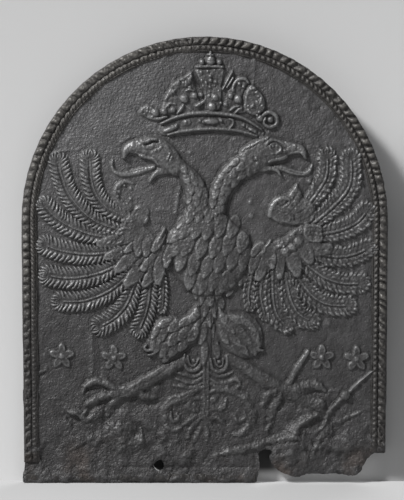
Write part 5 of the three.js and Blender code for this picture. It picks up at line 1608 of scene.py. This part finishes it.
field_iron = iron("field_iron", (0.103, 0.101, 0.103, 1), (0.135, 0.135, 0.137, 1), 0.35, 0.3, 1.0)
border_iron = iron("border_iron", (0.088, 0.083, 0.078, 1), (0.13, 0.124, 0.115, 1), 0.3, 0.3, 0.6)
figure_iron = iron("figure_iron", (0.100, 0.099, 0.100, 1), (0.165, 0.165, 0.166, 1), 0.25, 0.35, 0.45)
print("irons:", [m.name for m in (field_iron, border_iron, figure_iron)])

# %% Each piece gets its iron
plate.data.materials.append(field_iron)
for piece in mouldings:
    piece.data.materials.append(border_iron)
for piece in relief:
    piece.data.materials.append(figure_iron)
print("pieces with a material:", 1 + len(mouldings) + len(relief))

# %% [markdown]
# ## Floor, backdrop and light
#
# The studio is a pale floor and a pale sheet close behind the plate. The sheet leans away a little, as paper
# hung on a wall does. Its colour is painted darker upwards and to the left, against the pool of light of the
# key lamp, so that it looks evenly lit; a painted shadow darkens it right of the plate, and painted shade
# lies behind the foot. It shows only to the camera and only from its front, so the back of the plate can be
# looked at too.

# %% A paper for the floor and the backdrop
def pale(name, color, hidden_behind=False, across=0.0, upwards=0.0):
    """A pale paper, which may hide its own back. Its colour may change across and upwards as painted shade
    against the key lamp's pool of light, and it then also carries a painted shadow right of the plate and
    painted shade behind its foot.
    """
    material = bpy.data.materials.new(name)
    material.use_nodes = True
    tree = material.node_tree
    shader = tree.nodes["Principled BSDF"]
    shader.inputs["Base Color"].default_value = color
    shader.inputs["Roughness"].default_value = 0.9
    shader.inputs["Specular IOR Level"].default_value = 0.1
    # painted shade: the colour changes across and upwards to even out the key lamp's pool of light
    if across or upwards:
        split = node(tree, "ShaderNodeSeparateXYZ")
        tree.links.new(node(tree, "ShaderNodeTexCoord").outputs["Object"], split.inputs[0])
        side = node(tree, "ShaderNodeMath", operation="MULTIPLY_ADD")
        side.inputs[1].default_value, side.inputs[2].default_value = across, color[0]
        tree.links.new(split.outputs[0], side.inputs[0])
        height = node(tree, "ShaderNodeMath", operation="MULTIPLY_ADD", use_clamp=True)
        height.inputs[1].default_value = upwards
        tree.links.new(split.outputs[1], height.inputs[0])
        tree.links.new(side.outputs[0], height.inputs[2])
        # painted shadow: a darker strip on the backdrop right of the plate
        painted_shadow_right = math_of(tree, "MULTIPLY", ranged(tree, split.outputs[0], 0.056, 0.069),
                       ranged(tree, split.outputs[1], -0.72, -0.82))
        light = math_of(tree, "SUBTRACT", 1.0, math_of(tree, "MULTIPLY", painted_shadow_right, 0.42))
        # painted shade behind the foot, where the burnt hole and the broken corner show the backdrop
        painted_shade_behind_foot = math_of(tree, "MULTIPLY", ranged(tree, split.outputs[0], 0.033, 0.024),
                              math_of(tree, "MULTIPLY", ranged(tree, split.outputs[0], -0.062, -0.052),
                                      ranged(tree, split.outputs[1], -0.996, -0.989)))
        painted_shade_behind_foot = math_of(tree, "MULTIPLY", painted_shade_behind_foot, ranged(tree, split.outputs[1], -0.90, -0.96))
        light = math_of(tree, "SUBTRACT", light, math_of(tree, "MULTIPLY", painted_shade_behind_foot, 0.9))
        tree.links.new(math_of(tree, "MULTIPLY", height.outputs[0], light), shader.inputs["Base Color"])
    if hidden_behind:
        clear = node(tree, "ShaderNodeBsdfTransparent")
        mix = node(tree, "ShaderNodeMixShader")
        seen = node(tree, "ShaderNodeLightPath").outputs["Is Camera Ray"]
        behind = node(tree, "ShaderNodeNewGeometry").outputs["Backfacing"]
        shown = math_of(tree, "SUBTRACT", seen, behind)
        tree.links.new(shown, mix.inputs[0])
        tree.links.new(clear.outputs[0], mix.inputs[1])
        tree.links.new(shader.outputs[0], mix.inputs[2])
        tree.links.new(mix.outputs[0], tree.nodes["Material Output"].inputs["Surface"])
    return material


print("papers come from:", pale.__name__)


# %% The floor and the backdrop
def flat_sheet(name, size_x, size_y, centre, turn, material):
    bm = bmesh.new()
    bmesh.ops.create_grid(bm, x_segments=1, y_segments=1, size=1)
    mesh = bpy.data.meshes.new(name)
    bm.to_mesh(mesh)
    bm.free()
    sheet = bpy.data.objects.new(name, mesh)
    sheet.scale = (size_x / 2, size_y / 2, 1)
    sheet.location = centre
    sheet.rotation_euler = turn
    mesh.materials.append(material)
    bpy.context.scene.collection.objects.link(sheet)
    return sheet


SHEET_FOOT_GAP = 9.0  # how far the backdrop stands behind the plate's foot
SHEET_LEAN = math.radians(2.2)  # and it leans away from the plate above
SHEET_HEIGHT = 4.0
sheet_middle = (0, (BACK + SHEET_FOOT_GAP) * MM + SHEET_HEIGHT / 2 * math.sin(SHEET_LEAN),
                SHEET_HEIGHT / 2 * math.cos(SHEET_LEAN))
flat_sheet("floor", 8, 8, (0, 0, 0), (0, 0, 0), pale("floor_paper", (0.53, 0.53, 0.53, 1)))
flat_sheet("backdrop", 8, SHEET_HEIGHT, sheet_middle, (math.pi / 2 - SHEET_LEAN, 0, 0),
           pale("backdrop_paper", (0.19, 0.19, 0.19, 1), True, 0.55, -0.50))
print("backdrop leans:", round(math.degrees(SHEET_LEAN), 1), "degrees")

# %% [markdown]
# The key lamp stands high on the left and is small enough to draw every edge of the relief. A weak wide lamp
# fills the shadows, another lights the back, and the world adds the glow of a white room.

# %% The lamps
def lamp(name, location, target, size, power):
    data = bpy.data.lights.new(name, "AREA")
    data.size = size
    data.energy = power
    made = bpy.data.objects.new(name, data)
    made.location = location
    made.rotation_euler = (Vector(target) - Vector(location)).to_track_quat("-Z", "Y").to_euler()
    bpy.context.scene.collection.objects.link(made)
    return made


MIDDLE = (0, 0, 0.36)
lamp("key", (-2.98, -2.13, 3.74), MIDDLE, 0.8, 341)
lamp("fill", (1.2, -2.8, 0.9), MIDDLE, 1.8, 4)
lamp("rear", (0.8, 2.2, 1.2), MIDDLE, 1.4, 26)

WORLD_STRENGTH = 0.17
world = bpy.data.worlds.new("studio")
world.use_nodes = True
glow = world.node_tree.nodes["Background"].inputs
glow["Color"].default_value = (0.97, 0.98, 1.0, 1)
glow["Strength"].default_value = WORLD_STRENGTH
bpy.context.scene.world = world
bpy.context.scene.view_settings.view_transform = "Standard"

# %% [markdown]
# The pieces have to stay inside the model's box.
